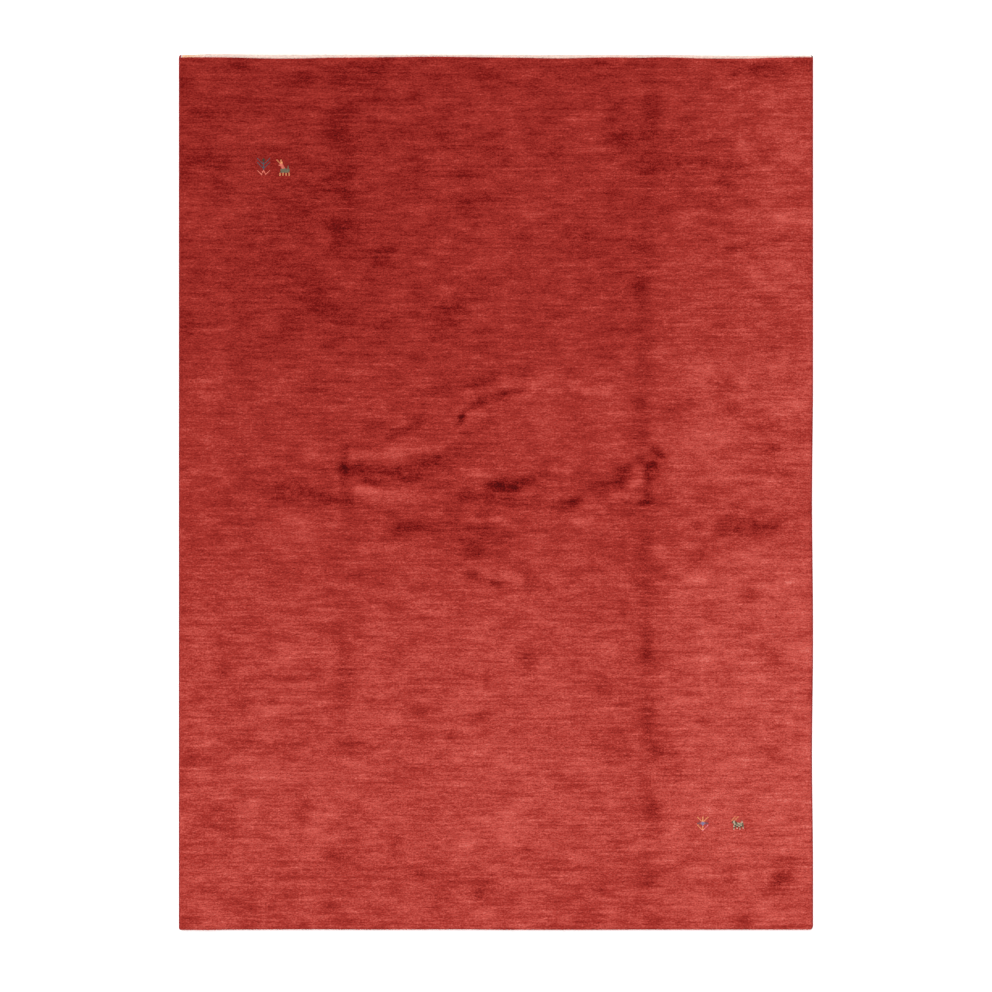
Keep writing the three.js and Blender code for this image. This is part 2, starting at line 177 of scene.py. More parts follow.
# Nap marks: painted sheen and shading of the nap, along the folds and round the creases; colour only
PAINTED_NAP = tuple(
    Mark.read(*row)
    for row in (
        # painted shading along the two long folds that the rug was stored in
        (18, 11, 404, -1130, 404, 1160), (18, 7, -404, 650, -404, 1130), (14, 5, -400, -560, -397, 330),
        (20, 14, 400, -150, 412, -300, 402, -400), (18, 16, 408, -450, 410, -580),
        # broad painted shading that the bands don't give
        (110, 16, -560, 700, -500, 800), (80, 14, 480, 880, 580, 880), (70, 14, -140, -90, -40, -90),
        (70, -9, 300, 110, 600, 110), (80, -8, -780, 100, -740, 120), (80, 10, -780, -500, -720, -500),
        # soft painted shading and highlights round the creases in the middle
        (18, 26, -393, 52, -260, 38, -130, 20), (20, 20, -668, 18, -412, -22),
        (42, -20, -580, -100, -490, -105), (14, 17, -277, -92, -20, -98),
        (12, 14, -115, -155, 5, -160), (7, 26, -101, -184, -60, -215),
        (18, 24, 620, -80, 800, -88), (22, 18, 150, -20, 370, -30), (20, 24, 250, 30, 340, 50),
        (16, 14, 395, 360, 392, 140), (16, 22, 30, 30, 130, 42), (14, -20, -390, 6, -250, -2),
        (12, 20, -200, 262, -110, 290), (30, -14, 640, -180, 780, -200), (24, -14, 560, 60, 620, 60),
        (26, -14, 120, 180, 330, 210), (18, 14, -20, -20, 120, -30), (50, 12, -180, 120, -40, 140),
        # broad tones of single places, set by comparing large regions of the picture and the photo
        (60, 12, -760, -320, -720, -320), (60, 12, 300, -680, 340, -680), (60, 10, -120, -1080, -80, -1080),
        (60, 10, 740, -1080, 780, -1080), (80, -12, 530, 300, 540, 480), (60, -9, 300, 300, 320, 300),
        (70, 10, -560, 490, -500, 490),
        # far left
        (10, 24, -530, 1122, -490, 1121), (22, 20, -388, 1132, -312, 1132), (12, 30, -810, 1025, -730, 1018),
        (16, 32, -840, 888, -735, 888), (24, 26, -434, 1020, -422, 1020), (22, 24, -405, 959, -405, 971),
        (18, 30, -445, 842, -405, 812), (14, 28, -435, 720, -375, 722), (14, 24, -432, 666, -432, 670),
        (16, 24, -585, 614, -585, 622), (22, 26, -488, 548, -488, 522), (12, 24, -490, 494, -440, 496),
        (22, 24, -433, 455, -417, 455), (10, 24, -385, 650, -280, 644), (12, 22, -309, 617, -301, 617),
        (16, 24, -138, 944, -138, 952), (18, 22, -16, 925, -4, 925), (16, 22, -82, 842, -78, 842),
        (9, 34, -145, 500, -98, 495), (30, 24, -822, 440, -822, 450), (8, 22, -350, 443, -285, 443),
        (35, 16, -160, 452, -130, 452), (8, 20, -145, 786, -10, 786), (12, 20, -32, 1110, -8, 1110),
        (10, -26, -515, 1068, -445, 1070), (12, -24, -182, 1058, -174, 1058), (12, -26, -55, 1002, -20, 1002),
        (10, -18, -305, 1008, -215, 1006), (14, -20, -327, 842, -323, 842), (14, -26, -725, 752, -680, 750),
        (30, -16, -810, 735, -770, 735), (8, -24, -464, 686, -456, 686), (5, -22, -685, 636, -645, 635),
        (6, -24, -215, 618, -180, 617), (10, -24, -45, 620, 0, 620), (14, -26, -5, 682, -1, 682),
        (12, -24, -274, 532, -250, 532), (18, -18, -635, 972, -631, 972), (5, -20, -580, 674, -505, 675),
        # far right
        (16, 52, 655, 1136, 690, 1137), (14, 44, 700, 1142, 738, 1147), (14, 24, 750, 1138, 800, 1140),
        (6, 40, 818, 1162, 842, 1160), (8, 24, 280, 1150, 325, 1146), (22, 36, 410, 1029, 410, 1037),
        (12, 22, 314, 1036, 330, 1036), (20, 34, 421, 966, 421, 970), (18, 32, 328, 958, 352, 958),
        (18, 20, 351, 930, 359, 930), (9, 24, 474, 957, 500, 957), (9, 24, 504, 996, 522, 996),
        (4, 24, 140, 908, 195, 909), (5, 30, 490, 886, 590, 886), (16, 28, 404, 876, 420, 876),
        (12, 34, 605, 832, 632, 832), (40, 14, 640, 860, 660, 860), (14, 38, 595, 770, 595, 778),
        (14, 24, 516, 782, 540, 782), (12, 22, 808, 778, 808, 786), (12, 22, 722, 899, 726, 899),
        (13, 34, 205, 690, 238, 688), (20, 20, 237, 650, 287, 650), (8, 28, 365, 656, 460, 659),
        (12, 22, 66, 667, 66, 679), (8, 22, 400, 712, 475, 711), (10, 26, 640, 652, 690, 640),
        (8, 22, 580, 662, 635, 656), (9, 20, 725, 686, 830, 680), (13, 30, 388, 572, 390, 510),
        (9, 24, 152, 582, 162, 582), (14, 22, 614, 440, 614, 444), (9, -30, 210, 1006, 280, 1017),
        (8, -22, 325, 1075, 385, 1076), (12, -22, 460, 1073, 476, 1073), (16, -28, 630, 1030, 630, 1034),
        (22, -22, 742, 1068, 778, 1068), (20, -20, 725, 975, 795, 975), (16, -34, 665, 924, 665, 940),
        (12, -20, 770, 922, 835, 924), (9, -24, 700, 868, 740, 866), (22, -20, 272, 938, 272, 942),
        (25, -17, 275, 867, 275, 877), (5, -25, 95, 834, 165, 839), (14, -32, 80, 748, 92, 748),
        (14, -24, 524, 744, 556, 744), (12, -24, 710, 740, 770, 734), (14, -30, 770, 736, 845, 733),
        (13, -24, 440, 677, 454, 677), (18, -22, 488, 622, 512, 622), (16, -30, 757, 606, 773, 606),
        (14, -34, 695, 578, 715, 578), (10, -22, 749, 545, 765, 545), (14, -22, 435, 556, 459, 556),
        (6, -28, 125, 519, 170, 514),
        # middle left
        (14, 32, -575, 15, -520, 20), (18, 17, -590, -18, -415, -22), (12, 17, -740, 92, -655, 88),
        (8, 22, -476, 58, -468, 58), (10, 20, -520, 283, -460, 280), (16, -22, -553, -80, -517, -80),
        (14, -22, -571, -120, -519, -120), (10, -20, -500, 98, -430, 96), (14, -17, -840, 258, -740, 256),
        (10, -20, -770, -335, -705, -333), (5, -20, -305, 212, -265, 212), (12, -18, -450, 369, -430, 369),
        (18, -17, -372, 332, -352, 332),
        # middle right
        (9, 28, 400, -128, 404, -128), (8, 26, 372, -248, 392, -248), (14, 15, 386, 270, 390, 160),
        (10, 26, 303, 312, 350, 316), (9, 24, 432, 216, 470, 210), (12, 18, 472, 225, 530, 240),
        (10, 20, 637, 220, 645, 220), (12, 20, 595, 284, 650, 282), (20, 20, 218, 178, 226, 178),
        (10, 20, 720, 175, 790, 163, 825, 158), (7, 22, 682, 124, 715, 122, 738, 110),
        (9, 50, 748, 118, 752, 118), (8, 34, 740, 56, 782, 52), (16, 22, 639, -42, 651, -42),
        (10, 28, 600, -105, 650, -108), (8, 36, 650, -102, 700, -100), (7, 42, 700, -96, 752, -94),
        (14, 20, 757, -60, 757, -76), (12, 18, 521, -184, 545, -184), (9, 22, 683, -280, 697, -280),
        (14, -28, 540, 328, 575, 330), (10, -20, 630, 328, 770, 340), (6, -20, 664, 298, 664, 250),
        (22, -22, 820, 230, 824, 230), (18, -20, 500, 138, 620, 142), (10, -24, 107, -130, 113, -130),
        (8, -28, 433, -148, 449, -148), (20, -16, 575, -225, 640, -250), (20, -20, 804, -333, 832, -333),
        (12, -18, 352, 344, 352, 380),
        # near left
        (20, 50, -824, -718, -816, -718), (12, 24, -735, -476, -735, -480), (4, 20, -710, -566, -600, -566),
        (12, 24, -700, -682, -670, -672), (9, 24, -590, -683, -525, -678), (18, 32, -418, -693, -406, -693),
        (10, 32, -370, -686, -322, -692), (14, 28, -415, -400, -415, -465), (16, 26, -420, -490, -410, -575),
        (8, 30, -211, -588, -195, -588), (18, 22, -44, -610, -36, -610), (9, 32, -118, -648, -118, -662),
        (9, 24, -269, -652, -261, -652), (20, 20, -510, -820, -510, -824), (14, 20, -530, -860, -530, -876),
        (14, 28, -765, -885, -715, -886), (35, 14, -732, -870, -728, -870), (20, 20, -824, -912, -816, -912),
        (14, 22, -738, -978, -736, -978), (20, 17, -395, -852, -375, -852), (10, 24, -172, -882, -168, -882),
        (12, 34, -270, -945, -272, -990), (14, 28, -450, -983, -400, -990),
        (18, 20, -200, -1036, -200, -1040), (20, 20, -45, -1055, -25, -1055),
        (10, 34, -54, -1090, -46, -1090), (11, 30, -560, -1073, -546, -1073),
        (20, 20, -442, -1115, -438, -1115), (8, 24, -680, -1158, -620, -1160),
        (12, 22, -828, -1150, -816, -1150), (10, 22, -420, -1160, -400, -1160),
        (16, -20, -574, -432, -546, -432), (7, -22, -365, -490, -320, -490),
        (12, -20, -596, -470, -560, -470), (10, -26, -655, -582, -575, -584),
        (12, -26, -340, -608, -265, -613), (18, -28, -642, -757, -638, -757),
        (24, -20, -464, -755, -456, -755), (14, -28, -361, -745, -349, -745),
        (10, -20, -109, -718, -101, -718), (6, -24, -65, -520, -45, -520),
        (12, -20, -658, -835, -660, -888), (16, -28, -478, -868, -458, -868),
        (14, -30, -572, -920, -568, -920), (16, -26, -485, -928, -465, -928),
        (26, -22, -80, -938, -80, -942), (12, -22, -100, -1130, -50, -1132),
        (9, -26, -40, -1135, -15, -1135), (26, -20, -785, -1121, -785, -1129),
        # near right
        (14, 34, 85, -445, 92, -488), (16, 34, 402, -400, 408, -440), (20, 26, 740, -420, 765, -470),
        (16, 22, 277, -521, 277, -529), (12, 28, 306, -553, 318, -553), (6, 24, 345, -554, 400, -552),
        (16, 26, 412, -590, 412, -640), (18, 30, 415, -672, 430, -700), (14, 30, 435, -690, 475, -702),
        (10, 24, 300, -712, 350, -706), (10, 26, 460, -755, 500, -762), (14, 24, 752, -590, 757, -650),
        (12, 22, 747, -712, 763, -712), (16, 20, 146, -752, 170, -752), (6, 24, 137, -832, 157, -832),
        (14, 36, 420, -855, 432, -892), (15, 20, 410, -800, 415, -850), (20, 20, 335, -956, 335, -968),
        (10, 22, 66, -965, 82, -965), (8, 24, 80, -1000, 100, -1000), (6, 22, 125, -1008, 195, -1006),
        (8, 36, 772, -990, 784, -990), (7, 24, 740, -998, 830, -998), (11, 56, 760, -1034, 782, -1037),
        (12, 46, 750, -1056, 758, -1050), (14, 22, 634, -1039, 634, -1051), (18, 34, 420, -1044, 420, -1046),
        (7, 24, 235, -1075, 285, -1063), (10, 26, 220, -1154, 270, -1156), (14, 28, 417, -1155, 433, -1155),
        (10, 36, 645, -1162, 680, -1162), (9, 26, 575, -1162, 615, -1162), (14, -24, 544, -445, 576, -445),
        (10, -24, 121, -474, 133, -474), (10, -20, 150, -520, 190, -515), (10, -22, 653, -566, 677, -566),
        (6, -20, 460, -558, 570, -556), (7, -22, 790, -420, 840, -420), (9, -24, 530, -668, 600, -668),
        (12, -24, 12, -732, 44, -732), (10, -22, 200, -742, 350, -743), (7, -22, 610, -738, 665, -735),
        (12, -22, 521, -798, 549, -798), (20, -20, 36, -862, 44, -862), (22, -24, 28, -917, 28, -933),
        (12, -20, 211, -985, 239, -985), (7, -26, 345, -955, 380, -953), (8, -20, 400, -948, 500, -947),
        (20, -26, 510, -1108, 560, -1108), (10, -24, 690, -1143, 760, -1140),
        (16, -20, 310, -1135, 314, -1135),
    )
)


@dataclass(frozen=True)
class Trough:
    """A soft trough along the rug, pressed in by a fold."""

    x: float
    from_y: float
    to_y: float
    width: float
    depth: float


@dataclass(frozen=True)
class Swell:
    """A slow wave of the pile's surface."""

    height: float
    along_x: float
    along_y: float
    phase: float


@dataclass(frozen=True)
class WearAndShading:
    """Creases, folds, nap patches and bands over the rug: heights, and tones of dye and of painted shading
    and sheen.
    """

    troughs: tuple[Trough, ...] = (
        Trough(-0.396, -1.120, 0.330, 0.026, 0.0011),
        Trough(-0.404, 0.650, 1.130, 0.024, 0.0009),
        Trough(0.404, -1.130, 1.160, 0.026, 0.0016),
    )
    swells: tuple[Swell, ...] = (
        Swell(0.00020, 0.610, 1.450, 0.4),
        Swell(0.00016, -0.340, 0.520, 2.1),
        Swell(0.00012, 0.230, 0.290, 4.0),
    )
    crease_depth: float = 0.0045  # of a crease with painted shading 1
    crease_spread: float = 0.008  # how much wider a crease's trough is than the mark
    # strength of the painted shading of creases and of the painted highlights of ridges
    painted_crease_strength: float = 0.88
    painted_shading_spread: float = 0.002  # how much wider a crease's painted shading is than the mark
    # strength and added width of the painted sheen and shading of the nap
    painted_nap_strength: float = 0.62
    painted_nap_spread: float = 0.007
    # bands along the rug and tones across it, lighter to the near end and to the right: partly dye, partly
    # painted sheen of the nap
    bands_at: tuple[float, ...] = (-1.09, -0.88, -0.45, -0.27, -0.12, 0.28, 0.40, 0.80, 1.07)
    bands: tuple[float, ...] = (0.15, 0.21, 0.15, 0.10, -0.03, -0.04, -0.16, -0.19, -0.24)
    across_at: tuple[float, ...] = (-0.76, -0.30, 0.10, 0.34, 0.50, 0.76)
    across_near: tuple[float, ...] = (-0.05, -0.065, -0.01, -0.07, 0.01, 0.08)
    across_far: tuple[float, ...] = (-0.05, -0.065, 0.02, 0.0, 0.11, 0.25)
    blend: float = 0.6  # half of the length over which the near ones pass into the far ones

    def relief(self, x: np.ndarray, y: np.ndarray) -> np.ndarray:
        """Height of the pile's surface above its level at each place."""
        height = np.zeros_like(x)
        for swell in self.swells:
            turn = 2 * math.pi * (x / swell.along_x + y / swell.along_y) + swell.phase
            height += swell.height * np.sin(turn)
        for trough in self.troughs:
            past = np.maximum(np.maximum(trough.from_y - y, y - trough.to_y), 0)
            height -= trough.depth * np.exp(-(np.hypot(x - trough.x, past) / trough.width) ** 2)
        return height - self.crease_depth * self._sum(CREASES, x, y, self.crease_spread)

    def shade(self, x: np.ndarray, y: np.ndarray) -> np.ndarray:
        """Painted shading of creases, folds and patches, in tones darker than the pile round them; below 0 a
        painted highlight.
        """
        nap = self.painted_nap_strength * self._sum(PAINTED_NAP, x, y, self.painted_nap_spread)
        return self.painted_crease_strength * self._sum(CREASES, x, y, self.painted_shading_spread) + nap

    def dye(self, x: np.ndarray, y: np.ndarray) -> np.ndarray:
        """Tone of the bands, partly dye and partly painted sheen of the nap, which lighten to the near end
        and to the right.
        """
        near, far = (np.interp(x, self.across_at, tones) for tones in (self.across_near, self.across_far))
        share = np.clip(y / (2 * self.blend) + 0.5, 0, 1)
        return np.interp(y, self.bands_at, self.bands) + near + share * (far - near)

    @staticmethod
    def _sum(marks: Iterable[Mark], x: np.ndarray, y: np.ndarray, spread: float = 0.0) -> np.ndarray:
        """Painted shading of the marks, added up where they touch the places.

        Args:
            marks: Creases or patches.
            x: X of each place.
            y: Y of each place, in the same shape.
            spread: How much wider than their half width the marks are taken.

        Returns:
            The sum for each place.
        """
        total = np.zeros_like(x)
        for mark in marks:
            near = mark.near(x, y)
            if near.any():
                total[near] += mark.shade * mark.weight(x[near], y[near], spread)
        return total


# Outline and meshes


class RugPlan:
    """Outline of the rug as the frame has it.

    The side cords give the long sides, the pile's lip the first and last knots and the web the far
    edge. Within the corners the lines are carried on and rounded with the plan's own radii.
    """

    end_clear = 0.015  # how far the rounded corners reach
    end_depth = 0.030  # the end lines lie within this distance of the ends
    lip = (0.0063, 0.0089)  # heights between which the pile stands out furthest
    web_edge = (0.0003, 0.0019)
    radii = {Side.LEFT: (0.007, 0.008), Side.RIGHT: (0.011, 0.004)}  # near and far corner

    def __init__(self, nodes: Mapping[str, bpy.types.Object]) -> None:
        """Read the outline from the frame's nodes."""
        low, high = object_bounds()
        self.half = (high.x - low.x) / 2
        self.low_y, self.high_y = low.y, high.y
        self.sides = {
            Side.LEFT: self._side_line(self._places(nodes["side_cord_left"])),
            Side.RIGHT: self._side_line(self._places(nodes["side_cord_right"])),
        }
        pile = self._inner(self._places(nodes["pile_field"]), self.lip)
        web = self._inner(self._places(nodes["end_web"]), self.web_edge)
        self._near = self._end_line(pile[pile[:, 1] < 0], np.minimum)
        self._far = self._end_line(pile[pile[:, 1] > 0], np.maximum)
        self._web = self._end_line(web, np.maximum)

    @staticmethod
    def _places(node: bpy.types.Object) -> np.ndarray:
        """Vertices of a node as rows of X, Y and Z."""
        places = np.empty(len(node.data.vertices) * 3)
        node.data.vertices.foreach_get("co", places)
        return places.reshape(-1, 3)

    def _inner(self, places: np.ndarray, heights: tuple[float, float]) -> np.ndarray:
        """The places between two heights that are by the ends and clear of the corners."""
        within = (places[:, 2] > heights[0]) & (places[:, 2] < heights[1])
        by_end = np.abs(places[:, 1]) > self.high_y - self.end_depth
        return places[within & by_end & (np.abs(places[:, 0]) < self.half - self.end_clear)]

    def _side_line(self, places: np.ndarray) -> tuple[np.ndarray, np.ndarray]:
        """Places along a side and the distance of its outer line from the middle there."""
        clear = (places[:, 1] > self.low_y + self.end_clear) & (places[:, 1] < self.high_y - self.end_clear)
        return self._extremes(places[clear][:, 1], np.abs(places[clear][:, 0]), np.maximum)

    def _end_line(self, places: np.ndarray, outer: np.ufunc) -> tuple[np.ndarray, np.ndarray]:
        """X of each column of places across the rug and the outermost Y in it."""
        return self._extremes(places[:, 0], places[:, 1], outer)

    @staticmethod
    def _extremes(along: np.ndarray, value: np.ndarray, outer: np.ufunc) -> tuple[np.ndarray, np.ndarray]:
        """The outermost value at each distinct place, to a tenth of a millimetre."""
        keys, where = np.unique(np.round(along, 4), return_inverse=True)
        found = np.full(len(keys), -np.inf if outer is np.maximum else np.inf)
        outer.at(found, where, value)
        return keys, found

    def near(self, x: np.ndarray) -> np.ndarray:
        """Y of the nearest knots."""
        return np.interp(x, *self._near)

    def far(self, x: np.ndarray) -> np.ndarray:
        """Y of the farthest knots."""
        return np.interp(x, *self._far)

    def web(self, x: np.ndarray) -> np.ndarray:
        """Y of the web's outer edge."""
        return np.interp(x, *self._web)

    def reach(self, side: Side, y: np.ndarray) -> np.ndarray:
        """Distance of a side's outer line from the middle line."""
        edge = np.array([side.value * self.half])
        near, far = self.radii[side]
        drawn = self._drawn(near, y - self.near(edge)) + self._drawn(far, self.web(edge) - y)
        return np.interp(y, *self.sides[side]) - drawn

    def side(self, across: np.ndarray, y: np.ndarray) -> np.ndarray:
        """Reach of the side that each share across belongs to."""
        return np.where(across < 0, self.reach(Side.LEFT, y), self.reach(Side.RIGHT, y))

    @staticmethod
    def _drawn(radius: float, apart: np.ndarray) -> np.ndarray:
        """How far a rounded corner has left the side's line, at a distance from the end."""
        rest = np.clip(radius - apart, 0, radius)
        return radius - np.sqrt(radius**2 - rest**2)


class MeshKit:
    """Makes mesh objects and their maps."""

    @staticmethod
    def add(name: str, points: np.ndarray, faces: Sequence[Sequence[int]]) -> bpy.types.Object:
        """Make an object at the origin and link it to the scene.

        Args:
            name: The object's name.
            points: Rows of X, Y and Z.
            faces: Corner numbers of each face, counter-clockwise seen from outside.

        Returns:
            The new object.
        """
        mesh = bpy.data.meshes.new(name)
        mesh.from_pydata(np.asarray(points, float).tolist(), [], faces)
        made = bpy.data.objects.new(name, mesh)
        bpy.context.scene.collection.objects.link(made)
        return made

    @staticmethod
    def drop(*objects: bpy.types.Object) -> None:
        """Remove helper objects together with their meshes."""
        for helper in objects:
            mesh = helper.data
            bpy.data.objects.remove(helper)
            if mesh.users == 0:
                bpy.data.meshes.remove(mesh)

    @staticmethod
    def places(mesh: bpy.types.Mesh) -> np.ndarray:
        """Vertices of a mesh as rows of X, Y and Z."""
        places = np.empty(len(mesh.vertices) * 3, np.float32)
        mesh.vertices.foreach_get("co", places)
        return places.reshape(-1, 3).astype(float)

    @staticmethod
    def store(mesh: bpy.types.Mesh, name: str, values: np.ndarray) -> None:
        """Keep a number, a vector or a colour for every vertex as a named attribute."""
        kinds = {1: ("FLOAT", "value"), 3: ("FLOAT_VECTOR", "vector"), 4: ("FLOAT_COLOR", "color")}
        kind, key = kinds[1 if values.ndim == 1 else values.shape[1]]
        attribute = mesh.attributes.get(name) or mesh.attributes.new(name, kind, "POINT")
        attribute.data.foreach_set(key, values.astype(np.float32).ravel())

    @staticmethod
    def lay_map(mesh: bpy.types.Mesh, corners: np.ndarray) -> None:
        """Give the mesh a map from a place for every face corner, scaled to fill the square."""
        low, high = corners.min(0), corners.max(0)
        layer = mesh.uv_layers.new(name=UV_MAP)
        layer.data.foreach_set("uv", ((corners - low) / (high - low)).astype(np.float32).ravel())

    @staticmethod
    def map_from_above(mesh: bpy.types.Mesh) -> None:
        """Give the mesh a map as it is seen from above."""
        MeshKit.lay_map(mesh, MeshKit.places(mesh)[MeshKit.corners(mesh), :2])

    @staticmethod
    def corners(mesh: bpy.types.Mesh) -> np.ndarray:
        """Vertex number of every face corner."""
        corner = np.empty(len(mesh.loops), np.int32)
        mesh.loops.foreach_get("vertex_index", corner)
        return corner

    @staticmethod
    def seats(
        name: str,
        places: Sequence[np.ndarray],
        heading: Sequence[np.ndarray] | None = None,
        size: Sequence[np.ndarray] | None = None,
    ) -> bpy.types.Object:
        """Make loose points for the row tree.

        Args:
            name: The object's name.
            places: X, Y and Z of the points.
            heading: Turn of each point about X, Y and Z, or none at all.
            size: Scale of each point along X, Y and Z, or 1 for all.

        Returns:
            The new object.
        """
        points = np.stack(places, axis=1)
        made = MeshKit.add(name, points, [])
        turned = np.zeros_like(points) if heading is None else np.stack(heading, axis=1)
        scaled = np.ones_like(points) if size is None else np.stack(size, axis=1)
        MeshKit.store(made.data, "heading", turned)
        MeshKit.store(made.data, "size", scaled)
        return made

    @staticmethod
    def grid(rows: int, columns: int) -> list[tuple[int, ...]]:
        """Faces of a grid of points that are numbered row by row."""
        return [
            (k, k + 1, k + columns + 1, k + columns)
            for j in range(rows - 1)
            for k in range(j * columns, (j + 1) * columns - 1)
        ]

    @staticmethod
    def band(low: Sequence[int], high: Sequence[int]) -> list[tuple[int, ...]]:
        """Faces between two closed rings of points."""
        after = (*range(1, len(low)), 0)
        return [(low[n], low[m], high[m], high[n]) for n, m in enumerate(after)]

    @staticmethod
    def stack(count: int, size: int) -> list[tuple[int, ...]]:
        """Faces of closed rings of points that are numbered ring by ring."""
        rings = [range(k * size, (k + 1) * size) for k in range(count)]
        return [face for low, high in zip(rings, rings[1:]) for face in MeshKit.band(low, high)]

    @staticmethod
    def tube(rings: np.ndarray) -> tuple[np.ndarray, list[tuple[int, ...]]]:
        """Closed tube through rings of points.

        Args:
            rings: Array of ring, point and coordinate; the points of a ring turn left to right
                seen from outside while the rings go on upwards.

        Returns:
            The points and the faces.
        """
        count, sides = rings.shape[:2]
        faces = MeshKit.stack(count, sides)
        faces.append(tuple(reversed(range(sides))))
        faces.append(tuple((count - 1) * sides + i for i in range(sides)))
        return rings.reshape(-1, 3), faces


class Shapes:
    """Small shapes that are repeated over the rug. Each is made once and removed at the end."""

    @staticmethod
    def lock(half_length: float, half_depth: float, top: float, foot: float) -> bpy.types.Object:
        """A lock of cut pile: a ridge along X on a keel along Y, four faces in all."""
        ridge = [(-half_length, 0, top), (half_length, 0, top)]
        keel = [(0, -half_depth, foot), (0, half_depth, foot)]
        faces = [(0, 2, 1), (0, 1, 3), (2, 3, 1), (3, 2, 0)]
        return MeshKit.add("lock_shape", np.array(ridge + keel), faces)

    @staticmethod
    def tuft(radius: float, height: float, sunk: float) -> bpy.types.Object:
        """A tuft for the rim: a three-sided spike along Z, its foot sunk by a share of its height."""
        turns = [2 * math.pi * k / 3 for k in range(3)]
        points = [(radius * math.cos(a), radius * math.sin(a), -sunk * height) for a in turns]
        points.append((0, 0, height))
        return MeshKit.add("tuft_shape", np.array(points), [(0, 1, 3), (1, 2, 3), (2, 0, 3), (2, 1, 0)])

    @staticmethod
    def bead(half_x: float, half_y: float, half_z: float, sides: int, rings: int) -> bpy.types.Object:
        """A rounded bead or knot with its poles along Z."""
        points = [(0.0, 0.0, -half_z)]
        for k in range(1, rings + 1):
            lift = math.pi * k / (rings + 1) - math.pi / 2
            for i in range(sides):
                turn = 2 * math.pi * (i + 0.5) / sides
                around = (math.cos(turn) * math.cos(lift), math.sin(turn) * math.cos(lift))
                points.append((half_x * around[0], half_y * around[1], half_z * math.sin(lift)))
        top = len(points)
        points.append((0.0, 0.0, half_z))
        faces: list[tuple[int, ...]] = []
        for i in range(sides):
            after = (i + 1) % sides
            faces.append((0, 1 + after, 1 + i))
            for k in range(rings - 1):
                base = 1 + k * sides
                faces.append((base + i, base + after, base + sides + after, base + sides + i))
            last = 1 + (rings - 1) * sides
            faces.append((last + i, last + after, top))
        return MeshKit.add("bead_shape", np.array(points), faces)

    @staticmethod
    def turn(radius: float, yarn: float, slant: float, sides: int, yarn_sides: int) -> bpy.types.Object:
        """One turn of yarn round a cord that runs along Y.

        Args:
            radius: From the cord's middle to the middle of the yarn.
            yarn: Radius of the yarn.
            slant: How far along the cord the turn leans from its bottom to its top.
            sides: Steps round the cord.
            yarn_sides: Steps round the yarn.

        Returns:
            The helper object.
        """
        points = []
        for i in range(sides):
            around = 2 * math.pi * i / sides
            for j in range(yarn_sides):
                about = 2 * math.pi * j / yarn_sides
                out = radius + yarn * math.cos(about)
                along = yarn * math.sin(about) + slant / 2 * math.cos(around)
                points.append((out * math.sin(around), along, out * math.cos(around)))
        faces = []
        for i in range(sides):
            for j in range(yarn_sides):
                a, b = i * yarn_sides, (i + 1) % sides * yarn_sides
                after = (j + 1) % yarn_sides
                faces.append((a + j, b + j, b + after, a + after))
        return MeshKit.add("turn_shape", np.array(points), faces)


# Geometry Nodes


class NodeBuilder:
    """Adds nodes to a tree and joins them."""

    def __init__(self, tree: bpy.types.NodeTree) -> None:
        """Work on this tree."""
        self.tree = tree

    def add(
        self,
        kind: str,
        inputs: Mapping[str | int, Any] | None = None,
        **settings: Any,
    ) -> bpy.types.Node:
        """Add a node.

        Args:
            kind: Blender's name for the type of node.
            inputs: For an input, by name or place, its value or the socket that feeds it.
            **settings: The node's own options.

        Returns:
            The new node.
        """
        node = self.tree.nodes.new(kind)
        for option, value in settings.items():
            setattr(node, option, value)
        for key, value in (inputs or {}).items():
            if isinstance(value, bpy.types.NodeSocket):
                self.tree.links.new(value, node.inputs[key])
            else:
                node.inputs[key].default_value = value
        return node

    def math(self, operation: str, *values: Any) -> bpy.types.NodeSocket:
        """Result of a math node on values or sockets."""
        node = self.add("ShaderNodeMath", dict(enumerate(values)), operation=operation)
        return node.outputs[0]


@dataclass(frozen=True)
class Variety:
    """How the copies of a shape differ: the largest turn about each axis and the limits of size."""

    turn: tuple[float, float, float]
    smallest: float
    largest: float

    def inputs(self, shape: bpy.types.Object, finish: bpy.types.Material, seed: int) -> dict[str, Any]:
        """Values for the inputs that all repeat trees have."""
        return {
            "Shape": shape,
            "Material": finish,
            "Seed": seed,
            "Turn": self.turn,
            "Smallest": self.smallest,
            "Largest": self.largest,
        }


